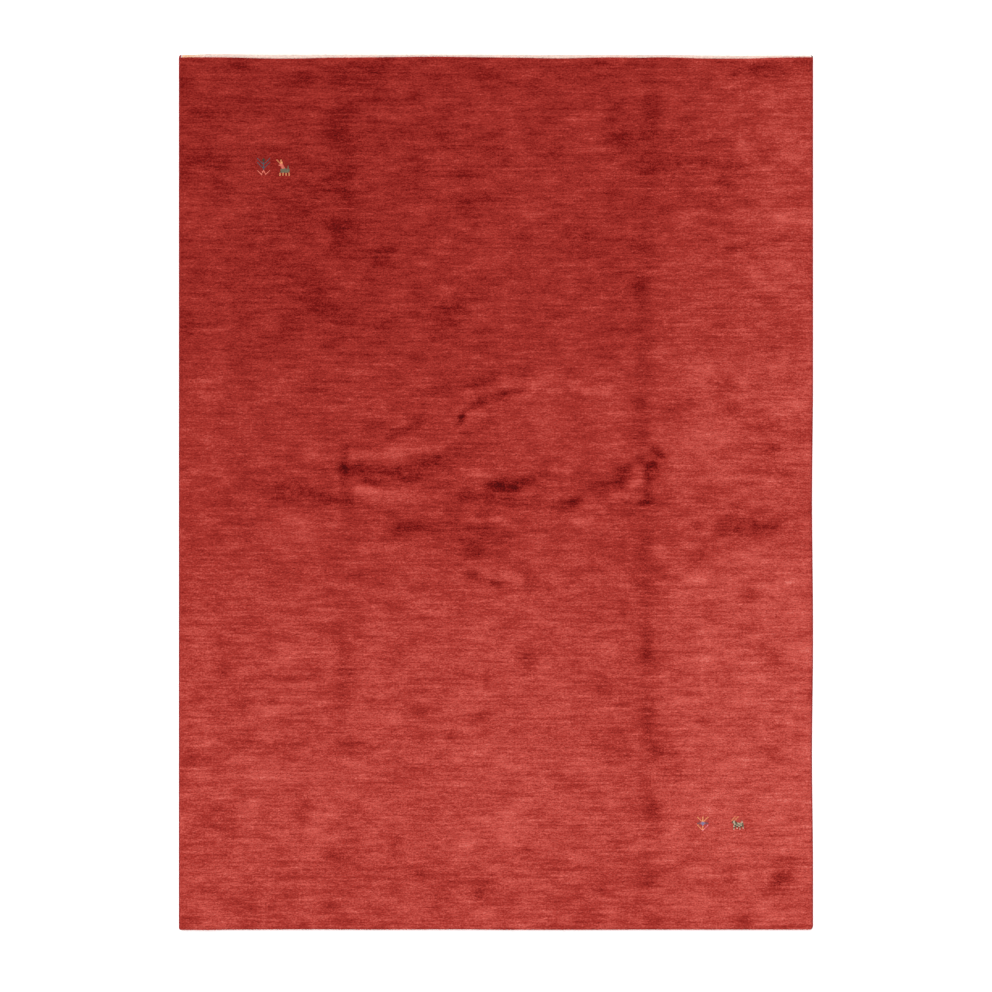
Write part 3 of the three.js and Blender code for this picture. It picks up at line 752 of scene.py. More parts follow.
class RepeatTree:
    """Base of the trees that repeat a small shape and join the copies into one plain mesh."""

    name = "repeat"
    inputs: dict[str, str] = {}

    def __init__(self) -> None:
        """Make the tree with its named inputs."""
        self.tree = bpy.data.node_groups.new(self.name, "GeometryNodeTree")
        self.build = NodeBuilder(self.tree)
        face = self.tree.interface
        face.new_socket(name="Geometry", in_out="INPUT", socket_type="NodeSocketGeometry")
        kinds = {
            "Shape": "NodeSocketObject",
            "Material": "NodeSocketMaterial",
            "Seed": "NodeSocketInt",
            "Turn": "NodeSocketVector",
            "Smallest": "NodeSocketFloat",
            "Largest": "NodeSocketFloat",
        }
        self.sockets = {
            label: face.new_socket(name=label, in_out="INPUT", socket_type=kind).identifier
            for label, kind in {**kinds, **self.inputs}.items()
        }
        face.new_socket(name="Geometry", in_out="OUTPUT", socket_type="NodeSocketGeometry")
        self.given = self.build.add("NodeGroupInput").outputs

    def _finish(self, instances: bpy.types.NodeSocket) -> None:
        """Make the copies real, give them their material and put them out."""
        real = self.build.add("GeometryNodeRealizeInstances", {"Geometry": instances})
        inputs = {"Geometry": real.outputs[0], "Material": self.given["Material"]}
        dressed = self.build.add("GeometryNodeSetMaterial", inputs)
        self.build.add("NodeGroupOutput", {0: dressed.outputs[0]})

    def _shape(self, label: str, whole: bool) -> bpy.types.NodeSocket:
        """Geometry of the object given to an input."""
        inputs = {"Object": self.given[label], "As Instance": whole}
        return self.build.add("GeometryNodeObjectInfo", inputs).outputs["Geometry"]

    def _random(self, low: Any, high: Any, step: int, vector: bool = False) -> bpy.types.NodeSocket:
        """Random number or vector between two limits.

        Args:
            low: Lowest value or its socket.
            high: Highest value or its socket.
            step: Added to the seed, so that no two draws are alike.
            vector: Whether the limits are vectors.

        Returns:
            The socket with the value.
        """
        first = 0 if vector else 2
        seed = self.build.math("ADD", self.given["Seed"], float(step))
        node = self.build.add(
            "FunctionNodeRandomValue",
            {first: low, first + 1: high, 8: seed},
            data_type="FLOAT_VECTOR" if vector else "FLOAT",
        )
        return node.outputs[0 if vector else 1]

    def _wobble(self) -> bpy.types.NodeSocket:
        """Random small rotation, up to the Turn input about each axis."""
        lowest = self.build.add("ShaderNodeVectorMath", {0: self.given["Turn"], 3: -1.0}, operation="SCALE")
        turn = self._random(lowest.outputs[0], self.given["Turn"], 1, vector=True)
        return self.build.add("FunctionNodeEulerToRotation", {0: turn}).outputs[0]

    def _swing(self) -> bpy.types.NodeSocket:
        """Random size between the Smallest and Largest inputs."""
        return self._random(self.given["Smallest"], self.given["Largest"], 3)

    def _copies(
        self,
        points: bpy.types.NodeSocket,
        rotation: bpy.types.NodeSocket,
        scale: bpy.types.NodeSocket,
    ) -> bpy.types.NodeSocket:
        """Put the shape on points, each copy with a random tone of its own.

        Args:
            points: Geometry with the points.
            rotation: Rotation of each copy.
            scale: Scale of each copy.

        Returns:
            The copies as instances.
        """
        toned = self.build.add(
            "GeometryNodeStoreNamedAttribute",
            {"Geometry": points, "Name": "lock_tone", "Value": self._random(-1.0, 1.0, 2)},
            data_type="FLOAT",
            domain="POINT",
        )
        inputs = {
            "Points": toned.outputs[0],
            "Instance": self._shape("Shape", True),
            "Rotation": rotation,
            "Scale": scale,
        }
        return self.build.add("GeometryNodeInstanceOnPoints", inputs).outputs[0]

    def grow(self, source: bpy.types.Object, values: Mapping[str, Any]) -> bpy.types.Object:
        """Run the tree on an object and keep what it makes as the object's own mesh.

        Args:
            source: The object with the surface or the points.
            values: A value for each named input.

        Returns:
            The same object with a plain mesh and no modifier.
        """
        modifier = source.modifiers.new(self.name, "NODES")
        modifier.node_group = self.tree
        for label, value in values.items():
            modifier[self.sockets[label]] = value
        graph = bpy.context.evaluated_depsgraph_get()
        made = bpy.data.meshes.new_from_object(source.evaluated_get(graph))
        source.modifiers.clear()
        before, source.data = source.data, made
        bpy.data.meshes.remove(before)
        made.name = source.name
        return source


class ScatterTree(RepeatTree):
    """Scatters locks or tufts evenly over a surface; each keeps a random tone of its own."""

    name = "scatter"
    inputs = {
        "Spacing": "NodeSocketFloat",
        "Density": "NodeSocketFloat",
        "Follow": "NodeSocketBool",
        "Clear": "NodeSocketObject",
        "Clearance": "NodeSocketFloat",
    }

    def __init__(self) -> None:
        """Build the tree."""
        super().__init__()
        add, given = self.build.add, self.given
        spread = add(
            "GeometryNodeDistributePointsOnFaces",
            {
                "Mesh": given["Geometry"],
                "Distance Min": given["Spacing"],
                "Density Max": given["Density"],
                "Seed": given["Seed"],
            },
            distribute_method="POISSON",
        )
        near = add("GeometryNodeProximity", {0: self._shape("Clear", False)}, target_element="POINTS")
        crowded = self.build.math("LESS_THAN", near.outputs["Distance"], given["Clearance"])
        real = self.build.math("GREATER_THAN", given["Clearance"], 0.0)
        remove = self.build.math("MULTIPLY", crowded, real)
        kept = add(
            "GeometryNodeDeleteGeometry",
            {"Geometry": spread.outputs["Points"], "Selection": remove},
            domain="POINT",
        )
        own = self._wobble()
        inputs = {0: spread.outputs["Rotation"], 1: own}
        along = add("FunctionNodeRotateRotation", inputs, rotation_space="LOCAL")
        choice = add(
            "GeometryNodeSwitch",
            {"Switch": given["Follow"], "False": own, "True": along.outputs[0]},
            input_type="ROTATION",
        )
        self._finish(self._copies(kept.outputs[0], choice.outputs[0], self._swing()))


class RowTree(RepeatTree):
    """Puts a shape on every prepared point, turned and sized as the point says, and adds a core."""

    name = "rows"
    inputs = {"Core": "NodeSocketObject"}

    def __init__(self) -> None:
        """Build the tree."""
        super().__init__()
        add, given = self.build.add, self.given
        heading, size = (
            add("GeometryNodeInputNamedAttribute", {"Name": name}, data_type="FLOAT_VECTOR").outputs[0]
            for name in ("heading", "size")
        )
        along = add("FunctionNodeEulerToRotation", {0: heading}).outputs[0]
        inputs = {0: along, 1: self._wobble()}
        turned = add("FunctionNodeRotateRotation", inputs, rotation_space="LOCAL")
        scale = add("ShaderNodeVectorMath", {0: size, 3: self._swing()}, operation="SCALE")
        copies = self._copies(given["Geometry"], turned.outputs[0], scale.outputs[0])
        joined = add("GeometryNodeJoinGeometry", {0: copies})
        self.tree.links.new(self._shape("Core", False), joined.inputs[0])
        self._finish(joined.outputs[0])


# Finishes


@dataclass(frozen=True)
class DyeAndShadeRamp:
    """Colours of the madder-red wool by tone, -1 darkest to 1 lightest; the ends carry painted shading too.
    """

    tones: tuple[float, ...] = (-1.0, -0.56, 0.0, 0.475, 1.0)
    colours: tuple[Colour, ...] = (
        linear(84, 8, 9),
        linear(125, 20, 17),
        linear(170, 53, 45),
        linear(208, 91, 81),
        linear(236, 142, 131),
    )

    def at(self, tone: np.ndarray) -> np.ndarray:
        """Colours with an alpha of 1 for an array of tones."""
        columns = [np.interp(tone, self.tones, [c[k] for c in self.colours]) for k in range(3)]
        return np.stack([*columns, np.ones_like(tone)], axis=1)

    def fill(self, node: bpy.types.Node) -> None:
        """Set a colour ramp node to these colours; 0.5 is tone 0."""
        stops = node.color_ramp.elements
        while len(stops) < len(self.tones):
            stops.new(0.5)
        for stop, tone, colour in zip(stops, self.tones, self.colours):
            stop.position = 0.5 + tone / 2
            stop.color = (*colour, 1.0)


class WoolGroups:
    """Shader node groups that the wool finishes share."""

    def __init__(self) -> None:
        """Make the groups."""
        self.noise = self._noise()
        self.grain = self._grain()

    @staticmethod
    def _start(name: str, inputs: Mapping[str, str], outputs: Sequence[str]) -> NodeBuilder:
        """A new group with named inputs, each with its socket type, and number outputs."""
        tree = bpy.data.node_groups.new(name, "ShaderNodeTree")
        for label, kind in inputs.items():
            tree.interface.new_socket(name=label, in_out="INPUT", socket_type=kind)
        for label in outputs:
            tree.interface.new_socket(name=label, in_out="OUTPUT", socket_type="NodeSocketFloat")
        return NodeBuilder(tree)

    def _noise(self) -> bpy.types.NodeTree:
        """Noise drawn out along the rows of knots, with a mean of 0."""
        inputs = {"Vector": "NodeSocketVector", "Repeats": "NodeSocketVector", "Gain": "NodeSocketFloat"}
        build = self._start("drawn_noise", inputs, ("Value",))
        given = build.add("NodeGroupInput").outputs
        scaled = build.add(
            "ShaderNodeVectorMath",
            {0: given["Vector"], 1: given["Repeats"]},
            operation="MULTIPLY",
        )
        noise = build.add("ShaderNodeTexNoise", {"Vector": scaled.outputs[0], "Scale": 1.0, "Detail": 2.0})
        centred = build.math("SUBTRACT", noise.outputs[0], 0.5)
        value = build.math("MULTIPLY", centred, given["Gain"])
        build.add("NodeGroupOutput", {0: value})
        return build.tree

    def _grain(self) -> bpy.types.NodeTree:
        """Clouds, nap patches, streaks along the rows, short dashes and fibre grain of wool."""
        strengths = ("Clouds", "Patches", "Streaks", "Dashes", "Grain")
        inputs = {"Vector": "NodeSocketVector", **{name: "NodeSocketFloat" for name in strengths}}
        build = self._start("wool_grain", inputs, ("Tone", "Height"))
        given = build.add("NodeGroupInput").outputs
        repeats = {
            "Clouds": (11.0, 15.0, 1.0),
            "Patches": (17.0, 45.0, 1.0),
            "Streaks": (8.0, 150.0, 1.0),
            "Dashes": (60.0, 200.0, 1.0),
            "Grain": (230.0, 260.0, 100.0),
        }
        parts = {
            name: build.add(
                "ShaderNodeGroup",
                {"Vector": given["Vector"], "Repeats": repeats[name], "Gain": given[name]},
                node_tree=self.noise,
            ).outputs[0]
            for name in strengths
        }
        fine = build.math("ADD", parts["Dashes"], parts["Grain"])
        broad = build.math("ADD", parts["Clouds"], parts["Patches"])
        coarse = build.math("ADD", broad, parts["Streaks"])
        build.add("NodeGroupOutput", {0: build.math("ADD", fine, coarse), 1: fine})
        return build.tree


@dataclass(frozen=True)
class Wool:
    """A wool finish. Strengths are gains on noise with a mean of 0; tones run as in the ramp of dye and
    shading.
    """

    name: str
    clouds: float = 0.45
    patches: float = 0.72
    streaks: float = 0.70
    dashes: float = 0.60
    grain: float = 1.15
    lock_tone: float = 0.10
    bump: float = 0.0004  # depth of the fine grain
    roughness: float = 0.92
    sheen: float = 0.02
    sheen_roughness: float = 0.5
    gloss: float = 0.06

    def dress(self, groups: WoolGroups) -> bpy.types.Material:
        """Make the finish.

        Args:
            groups: The shared node groups.

        Returns:
            The material.
        """
        material = bpy.data.materials.new(self.name)
        material.use_nodes = True
        material.node_tree.nodes.clear()
        build = NodeBuilder(material.node_tree)
        place = build.add("ShaderNodeTexCoord").outputs["Object"]
        wool = build.add(
            "ShaderNodeGroup",
            {
                "Vector": place,
                "Clouds": self.clouds,
                "Patches": self.patches,
                "Streaks": self.streaks,
                "Dashes": self.dashes,
                "Grain": self.grain,
            },
            node_tree=groups.grain,
        )
        lock = build.math("MULTIPLY", self._read(build, "lock_tone", "Fac"), self.lock_tone)
        tone = build.math("ADD", wool.outputs["Tone"], lock)
        bump = build.add("ShaderNodeBump", {"Height": wool.outputs["Height"], "Distance": self.bump})
        shader = build.add(
            "ShaderNodeBsdfPrincipled",
            {
                "Base Color": self._colour(build, tone),
                "Roughness": self.roughness,
                "Sheen Weight": self.sheen,
                "Sheen Roughness": self.sheen_roughness,
                "Specular IOR Level": self.gloss,
                "Normal": bump.outputs[0],
            },
        )
        build.add("ShaderNodeOutputMaterial", {"Surface": shader.outputs[0]})
        return material

    @staticmethod
    def _read(build: NodeBuilder, attribute: str, output: str) -> bpy.types.NodeSocket:
        """Socket of an attribute of the mesh."""
        return build.add("ShaderNodeAttribute", attribute_name=attribute).outputs[output]

    def _colour(self, build: NodeBuilder, tone: bpy.types.NodeSocket) -> bpy.types.NodeSocket:
        """Colour of the wool from the mesh's own dye, which holds painted shading on field knots, made
        lighter and darker by the tone.
        """
        value = build.math("ADD", tone, 1.0)
        inputs = {"Color": self._read(build, "dye", "Color"), "Value": value}
        return build.add("ShaderNodeHueSaturation", inputs).outputs[0]


@dataclass(frozen=True)
class PileWool(Wool):
    """The red pile: bands of dye and painted sheen and the painted shading of creases and nap patches from
    the mesh, through the ramp.
    """

    ramp: DyeAndShadeRamp = DyeAndShadeRamp()
    unevenness: float = 0.9  # how much the noise breaks up the painted shading of creases and patches

    def _colour(self, build: NodeBuilder, tone: bpy.types.NodeSocket) -> bpy.types.NodeSocket:
        """Colour of the pile at its tone, with the painted shading taken off the bands."""
        # painted shading of creases and nap, broken up by the noise, is taken off the bands of dye and
        # painted sheen
        broken = build.math("MULTIPLY_ADD", tone, -self.unevenness, 1.0)
        shade = build.math("MULTIPLY", self._read(build, "shade", "Fac"), broken)
        dyed_and_shaded = build.math("SUBTRACT", self._read(build, "band", "Fac"), shade)
        share = build.math("MULTIPLY_ADD", build.math("ADD", dyed_and_shaded, tone), 0.5, 0.5)
        ramp = build.add("ShaderNodeValToRGB", {"Fac": share})
        self.ramp.fill(ramp)
        return ramp.outputs["Color"]


# Sub-assemblies


@dataclass(frozen=True)
class Ring:
    """A ring round the pile's rim and how far it lies in from the sides and both ends."""

    height: float
    side: float
    near: float
    far: float


@dataclass
class Workshop:
    """What every sub-assembly needs: the outline, the relief and painted shading, the trees and the shared
    groups.
    """

    plan: RugPlan
    wear_and_shading: WearAndShading
    scatter: ScatterTree
    rows: RowTree
    groups: WoolGroups

    def finish(
        self,
        piece: bpy.types.Object,
        slot: Slot,
        replaces: Sequence[str] = (),
    ) -> bpy.types.Object:
        """Store the pile's bands and painted shading on a piece, put it on the rug's body and report it.

        Args:
            piece: The finished mesh object.
            slot: Its material slot; not used.
            replaces: CAD nodes that it stands for.

        Returns:
            The piece.
        """
        mesh = piece.data
        places = MeshKit.places(mesh)
        # bands of dye and painted sheen, and painted shading and highlights of creases and nap
        MeshKit.store(mesh, "band", self.wear_and_shading.dye(places[:, 0], places[:, 1]))
        MeshKit.store(mesh, "shade", self.wear_and_shading.shade(places[:, 0], places[:, 1]))
        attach(piece, BODY)
        if replaces:
            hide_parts(*replaces)
        mesh.calc_loop_triangles()
        LOG.info("%-20s %7d triangles", piece.name, len(mesh.loop_triangles))
        return piece


@dataclass
class PileBody:
    """Foundation and pile as one closed sheet; locks and tufts stand on it."""

    shop: Workshop
    height: float = 0.0105  # of the ground that the locks stand on
    step: float = 0.008
    edge_steps: tuple[float, ...] = (0.0, 0.0025, 0.005, 0.009)
    rings: tuple[Ring, ...] = (
        Ring(0.0000, 0.0066, 0.0030, 0.0053),
        Ring(0.0026, 0.0064, 0.0020, 0.0053),
        Ring(0.0052, 0.0063, 0.0018, 0.0014),
        Ring(0.0072, 0.0042, 0.0014, 0.0006),
        Ring(0.0092, 0.0048, 0.0020, 0.0012),
        Ring(0.0101, 0.0076, 0.0042, 0.0034),
    )
    rim_rings: int = 2  # the lowest ring that carries tufts
    rim_lines: int = 3  # grid lines of the top that carry tufts
    map_gap: float = 0.003  # between the top and the rim in the map
    map_shift: float = 2.05  # from the top to the back in the map, in half widths of the rug

    def __post_init__(self) -> None:
        """Lay out the grid of shares from -1 to 1, its points and the loop round its edge."""
        plan = self.shop.plan
        self.columns = self._lines(plan.half)
        self.rows = self._lines((plan.high_y - plan.low_y) / 2)
        self.last_column, self.last_row = len(self.columns) - 1, len(self.rows) - 1
        self.loop = self._loop()
        crown = self.rings[-1]
        across, along = np.meshgrid(self.columns, self.rows)
        inner = (np.abs(across) < 1) & (np.abs(along) < 1)
        self.top = self.place(across, along, crown)
        self.top[..., 2] += np.where(inner, self.height - crown.height, 0)

    def _lines(self, half: float) -> np.ndarray:
        """Grid lines as shares of the half size, closer together at both edges."""
        inner = half - self.edge_steps[-1] - self.step / 2
        even = np.linspace(-inner, inner, round(2 * inner / self.step) + 1)
        edge = half - np.array(self.edge_steps)
        return np.sort(np.concatenate([-edge, even, edge])) / half

    def place(self, across: np.ndarray, along: np.ndarray, ring: Ring) -> np.ndarray:
        """Points of the pile.

        Args:
            across: Shares across the rug, from -1 to 1.
            along: Shares along the rug, in the same shape.
            ring: The ring whose insets and height hold.

        Returns:
            The points, with the coordinates on a last axis of their own.
        """
        plan = self.shop.plan
        rough = across * plan.half
        reach = np.where(along < 0, -plan.near(rough) - ring.near, plan.far(rough) - ring.far)
        y = along * reach
        x = across * (plan.side(across, y) - ring.side)
        softness = (ring.height / self.height) ** 2
        z = ring.height + softness * self.shop.wear_and_shading.relief(x, y)
        return np.stack([x, y, z], axis=-1)

    def surface(self, x: np.ndarray, y: np.ndarray) -> np.ndarray:
        """Height of the level pile at places on the rug."""
        return self.height + self.shop.wear_and_shading.relief(x, y)

    def _loop(self) -> list[tuple[int, int]]:
        """Column and row of the grid's edge points, round the rug from its near left corner."""
        near = [(i, 0) for i in range(self.last_column)]
        right = [(self.last_column, j) for j in range(self.last_row)]
        far = [(i, self.last_row) for i in range(self.last_column, 0, -1)]
        left = [(0, j) for j in range(self.last_row, 0, -1)]
        return near + right + far + left

    def _round(self, ring: Ring) -> np.ndarray:
        """Points of a ring round the rug."""
        i, j = np.transpose(self.loop)
        return self.place(self.columns[i], self.rows[j], ring)

    def _skin(self) -> tuple[np.ndarray, list[tuple[int, ...]]]:
        """Points and faces of the top and the rim."""
        rows, columns = self.top.shape[:2]
        lower = [self._round(ring) for ring in self.rings[:-1]]
        points = np.concatenate([self.top.reshape(-1, 3), *lower])
        count = len(self.loop)
        starts = [rows * columns + k * count for k in range(len(lower))]
        rings = [range(start, start + count) for start in starts]
        rings.append([j * columns + i for i, j in self.loop])
        faces = MeshKit.grid(rows, columns)
        for low, high in zip(rings, rings[1:]):
            faces += MeshKit.band(low, high)
        return points, faces

    def _underside(self) -> list[tuple[int, ...]]:
        """Long faces of the back, from the near foot to the far one."""
        columns, rows = len(self.columns), len(self.rows)
        start = columns * rows
        far_start = start + columns - 1 + rows - 1
        near = [start + i for i in range(columns)]
        far = [far_start + columns - 1 - i for i in range(columns)]
        left_start = far_start + columns - 1
        left = [left_start + rows - 1 - j for j in range(1, rows - 1)]
        right = [start + columns - 1 + j for j in range(1, rows - 1)]
        faces = [(near[0], *left, far[0], far[1], near[1])]
        faces += [(near[i], far[i], far[i + 1], near[i + 1]) for i in range(1, columns - 2)]
        faces.append((near[-2], far[-2], far[-1], *reversed(right), near[-1]))
        return faces

    def _lay_map(self, mesh: bpy.types.Mesh, top_faces: int) -> None:
        """Map of the top with its rim laid flat round it, and of the back beside it.

        Args:
            mesh: The body's mesh.
            top_faces: Number of faces of the top and the rim, which come first.
        """
        places = MeshKit.places(mesh)[:, :2]
        flat = places.copy()
        count = len(self.loop)
        i, j = np.transpose(self.loop)
        past_sides = (i == self.last_column).astype(float) - (i == 0)
        past_ends = (j == self.last_row).astype(float) - (j == 0)
        outward = np.stack([past_sides, past_ends], axis=1)
        begin = len(self.columns) * len(self.rows)
        for ring in self.rings[:-1]:
            below = self.rings[-1].height - ring.height
            flat[begin : begin + count] = self.top[j, i, :2] + outward * (below + self.map_gap)
            begin += count
        corner = MeshKit.corners(mesh)
        totals = np.empty(len(mesh.polygons), np.int32)
        mesh.polygons.foreach_get("loop_total", totals)
        is_top = np.repeat(np.arange(len(totals)) < top_faces, totals)
        beside = places[corner] + np.array([self.map_shift * self.shop.plan.half, 0])
        MeshKit.lay_map(mesh, np.where(is_top[:, None], flat[corner], beside))

    def build(self, pile: bpy.types.Material, back: bpy.types.Material) -> bpy.types.Object:
        """Make the body.

        Args:
            pile: Finish of the top and the rim.
            back: Finish of the underside.

        Returns:
            The finished piece.
        """
        points, faces = self._skin()
        top_faces = len(faces)
        faces += self._underside()
        piece = MeshKit.add("rug_pile", points, faces)
        mesh = piece.data
        mesh.materials.append(pile)
        mesh.materials.append(back)
        back_of = (np.arange(len(mesh.polygons)) >= top_faces).astype(np.int32)
        mesh.polygons.foreach_set("material_index", back_of)
        mesh.polygons.foreach_set("use_smooth", back_of == 0)
        self._lay_map(mesh, top_faces)
        return self.shop.finish(piece, Slot.PILE, ["pile_field"])

    def patch(self, first: float, last: float) -> bpy.types.Object:
        """Part of the top, clear of the rim, between two shares of the rug's length."""
        wanted = (self.rows >= first) & (self.rows <= last)
        wanted[: self.rim_lines - 1] = False
        wanted[-self.rim_lines + 1 :] = False
        rows = self.top[wanted][:, self.rim_lines - 1 : -self.rim_lines + 1]
        return MeshKit.add("locks_source", rows.reshape(-1, 3), MeshKit.grid(*rows.shape[:2]))

    def rim(self) -> bpy.types.Object:
        """The strip round the rug that carries tufts: the upper rim and the edge of the top."""
        lines = [self._round(ring) for ring in self.rings[self.rim_rings : -1]]
        i, j = np.transpose(self.loop)
        for inward in range(self.rim_lines):
            column = np.clip(i, inward, self.last_column - inward)
            row = np.clip(j, inward, self.last_row - inward)
            lines.append(self.top[row, column])
        faces = MeshKit.stack(len(lines), len(self.loop))
        return MeshKit.add("edge_tufts", np.concatenate(lines), faces)


@dataclass
class PileLocks:
    """Cut pile that leans together into small locks, in bands along the rug."""

    shop: Workshop
    body: PileBody
    bands: int = 4
    spacing: float = 0.0037
    density: float = 190000.0
    half_length: float = 0.0056
    half_depth: float = 0.0033
    top: float = 0.0010
    foot: float = -0.0006
    variety: Variety = Variety((0.16, 0.10, 0.55), 0.75, 1.2)
    seed: int = 40  # the bands add their number
    clearance: float = 0.0042  # from the middle of a motif's knot
    quick_share: float = 2.0  # meant to make locks larger and farther apart in quick work; not used

    def build(self, finish: bpy.types.Material, knots: bpy.types.Object) -> list[bpy.types.Object]:
        """Make the bands of locks.

        Args:
            finish: The pile's finish.
            knots: Points of the motifs' knots, which locks keep clear of.

        Returns:
            The finished pieces, from the near end to the far one.
        """
        share = 1.0
        shape = Shapes.lock(self.half_length * share, self.half_depth * share, self.top, self.foot)
        borders = np.linspace(-1, 1, self.bands + 1)
        lines = [self.body.rows[np.argmin(np.abs(self.body.rows - border))] for border in borders]
        pieces = []
        for number, (first, last) in enumerate(zip(lines, lines[1:]), start=1):
            source = self.body.patch(first, last)
            source.name = f"pile_locks_{number}"
            values = self.variety.inputs(shape, finish, self.seed + number) | {
                "Spacing": self.spacing * share,
                "Density": self.density / share**2,
                "Follow": False,
                "Clear": knots,
                "Clearance": self.clearance,
            }
            piece = self.shop.scatter.grow(source, values)
            MeshKit.map_from_above(piece.data)
            pieces.append(self.shop.finish(piece, Slot.PILE))
        MeshKit.drop(shape)
        return pieces


@dataclass
class EdgeTufts:
    """Cut ends of the pile round the rim, which stand out along it."""

    shop: Workshop
    body: PileBody
    spacing: float = 0.0024
    density: float = 400000.0
    radius: float = 0.0013
    height: float = 0.0022
    sunk: float = 0.3  # share of the height below the surface
    variety: Variety = Variety((0.5, 0.5, 3.1), 0.7, 1.15)
    seed: int = 60

    def build(self, finish: bpy.types.Material) -> bpy.types.Object:
        """Make the tufts in the pile's finish and return the piece."""
        shape = Shapes.tuft(self.radius, self.height, self.sunk)
        values = self.variety.inputs(shape, finish, self.seed) | {
            "Spacing": self.spacing,
            "Density": self.density,
            "Follow": True,
            "Clearance": 0.0,
        }
        piece = self.shop.scatter.grow(self.body.rim(), values)
        MeshKit.drop(shape)
        return self.shop.finish(piece, Slot.PILE)


# Motif dyes by letter; a dot is a knot of the field
DYES: dict[str, Colour] = {
    "o": linear(238, 160, 110),
    "s": linear(226, 122, 104),
    "p": linear(232, 130, 140),
    "g": linear(120, 112, 92),
    "b": linear(88, 92, 100),
    "d": linear(78, 66, 52),
    "l": linear(146, 130, 160),
    "c": linear(232, 208, 180),
}


@dataclass(frozen=True)
class Motif:
    """A small motif charted knot by knot, its first row the farthest."""

    x: float
    y: float
    chart: tuple[str, ...]

    def knots(self, pitch: float) -> list[tuple[float, float, str]]:
        """X, Y and letter of every knot."""
        high, wide = len(self.chart), max(len(row) for row in self.chart)
        return [
            (self.x + (i - (wide - 1) / 2) * pitch, self.y + ((high - 1) / 2 - j) * pitch, letter)
            for j, row in enumerate(self.chart)
            for i, letter in enumerate(row.ljust(wide, "."))
        ]


FAR_MOTIFS = (
    Motif(
        -0.624,
        0.876,
        (
            "b.....d.....b.",
            ".b...ddd...b..",
            "..b..ddd..b...",
            "...b..d..b....",
            "b...b.b.b...b.",
            ".b...bbb...b..",
            "..b...b...b...",
            "...b..b..b....",
            "....b.b.b.....",
            ".....bbb......",
            "......b.......",
            "......b.......",
            "s.....s.....s.",
            ".s...sss...s..",
            "..s..s.s..s...",
            "...ss...ss....",
            "....s...s.....",
        ),
    ),
    Motif(
        -0.573,
        0.873,
        (
            "o...o........",
            ".o..o........",
            "..o.oo.......",
            "...ooo.......",
            "...sss.......",
            "..sssss......",
            "....sss....g.",
            ".....sss...g.",
            ".....sssg..g.",
            "....ggggggggg",
            "....ggggggggg",
            "....ggggggggg",
            "....gggggggg.",
            "...o..o..o..o",
            "...o..o..o..o",
            "...o..o..o..o",
        ),
    ),
)
NEAR_MOTIFS = (
    Motif(
        0.557,
        -0.893,
        (
            "o....o....o",
            ".o...o...o.",
            "..o..o..o..",
            "...o.o.o...",
            "....ooo....",
            "..b.lll.b..",
            "bb.lllll.bb",
            "..b.lll.b..",
            "o....l....p",
            ".o...o...p.",
            "..o..o..p..",
            "...o.o.p...",
            "....opo....",
            ".....p.....",
        ),
    ),
    Motif(
        0.649,
        -0.891,
        (
            "....o..o.....",
            "...o..o......",
            "..o..o.......",
            ".o..o........",
            "..dcd......g.",
            ".dgcgd.....c.",
            "..gcgggcggcgg",
            "...gcgdgcgdgg",
            "...gdgcgdgcgg",
            "...cggdgcggdg",
            "...gd.gd.gd.g",
            "...g..c..g..c",
            "...c.....c...",
        ),
    ),
)


@dataclass
class MotifKnots:
    """The knots of a group of motifs, a little proud of the locks round them."""

    shop: Workshop
    body: PileBody
    name: str
    motifs: tuple[Motif, ...]
    seed: int
    pitch: float = 0.0027
    half: tuple[float, float, float] = (0.0019, 0.0018, 0.0012)
    lift: float = 0.0002
    shake: float = 0.0003
    tone_spread: float = 0.07  # of the red knots round the motif
    variety: Variety = Variety((0.15, 0.15, 0.4), 0.85, 1.1)
    ramp: DyeAndShadeRamp = DyeAndShadeRamp()

    def points(self) -> bpy.types.Object:
        """The knots' points with their dyes, sizes and headings; field knots carry the pile's painted
        shading.
        """
        knots = [knot for motif in self.motifs for knot in motif.knots(self.pitch)]
        draw = np.random.default_rng(self.seed)
        x, y = (np.array([knot[k] for knot in knots]) for k in (0, 1))
        x = x + draw.uniform(-self.shake, self.shake, len(x))
        y = y + draw.uniform(-self.shake, self.shake, len(y))
        # knots of the field take the pile's bands and painted shading round them
        field = self.shop.wear_and_shading.dye(x, y) - self.shop.wear_and_shading.shade(x, y)
        colours = self.ramp.at(field + draw.normal(0, self.tone_spread, len(x)))
        for k, (_, _, letter) in enumerate(knots):
            if letter in DYES:
                colours[k, :3] = DYES[letter]
        source = MeshKit.seats(self.name, [x, y, self.body.surface(x, y) + self.lift])
        MeshKit.store(source.data, "dye", colours)
        return source

    def build(self, source: bpy.types.Object, finish: bpy.types.Material) -> bpy.types.Object:
        """Make the knots.

        Args:
            source: The points from points().
            finish: The finish that takes its colour from the dye.

        Returns:
            The finished piece.
        """
        shape = Shapes.bead(*self.half, sides=8, rings=3)
        piece = self.shop.rows.grow(source, self.variety.inputs(shape, finish, self.seed))
        MeshKit.drop(shape)
        MeshKit.map_from_above(piece.data)
        return self.shop.finish(piece, Slot.PILE)


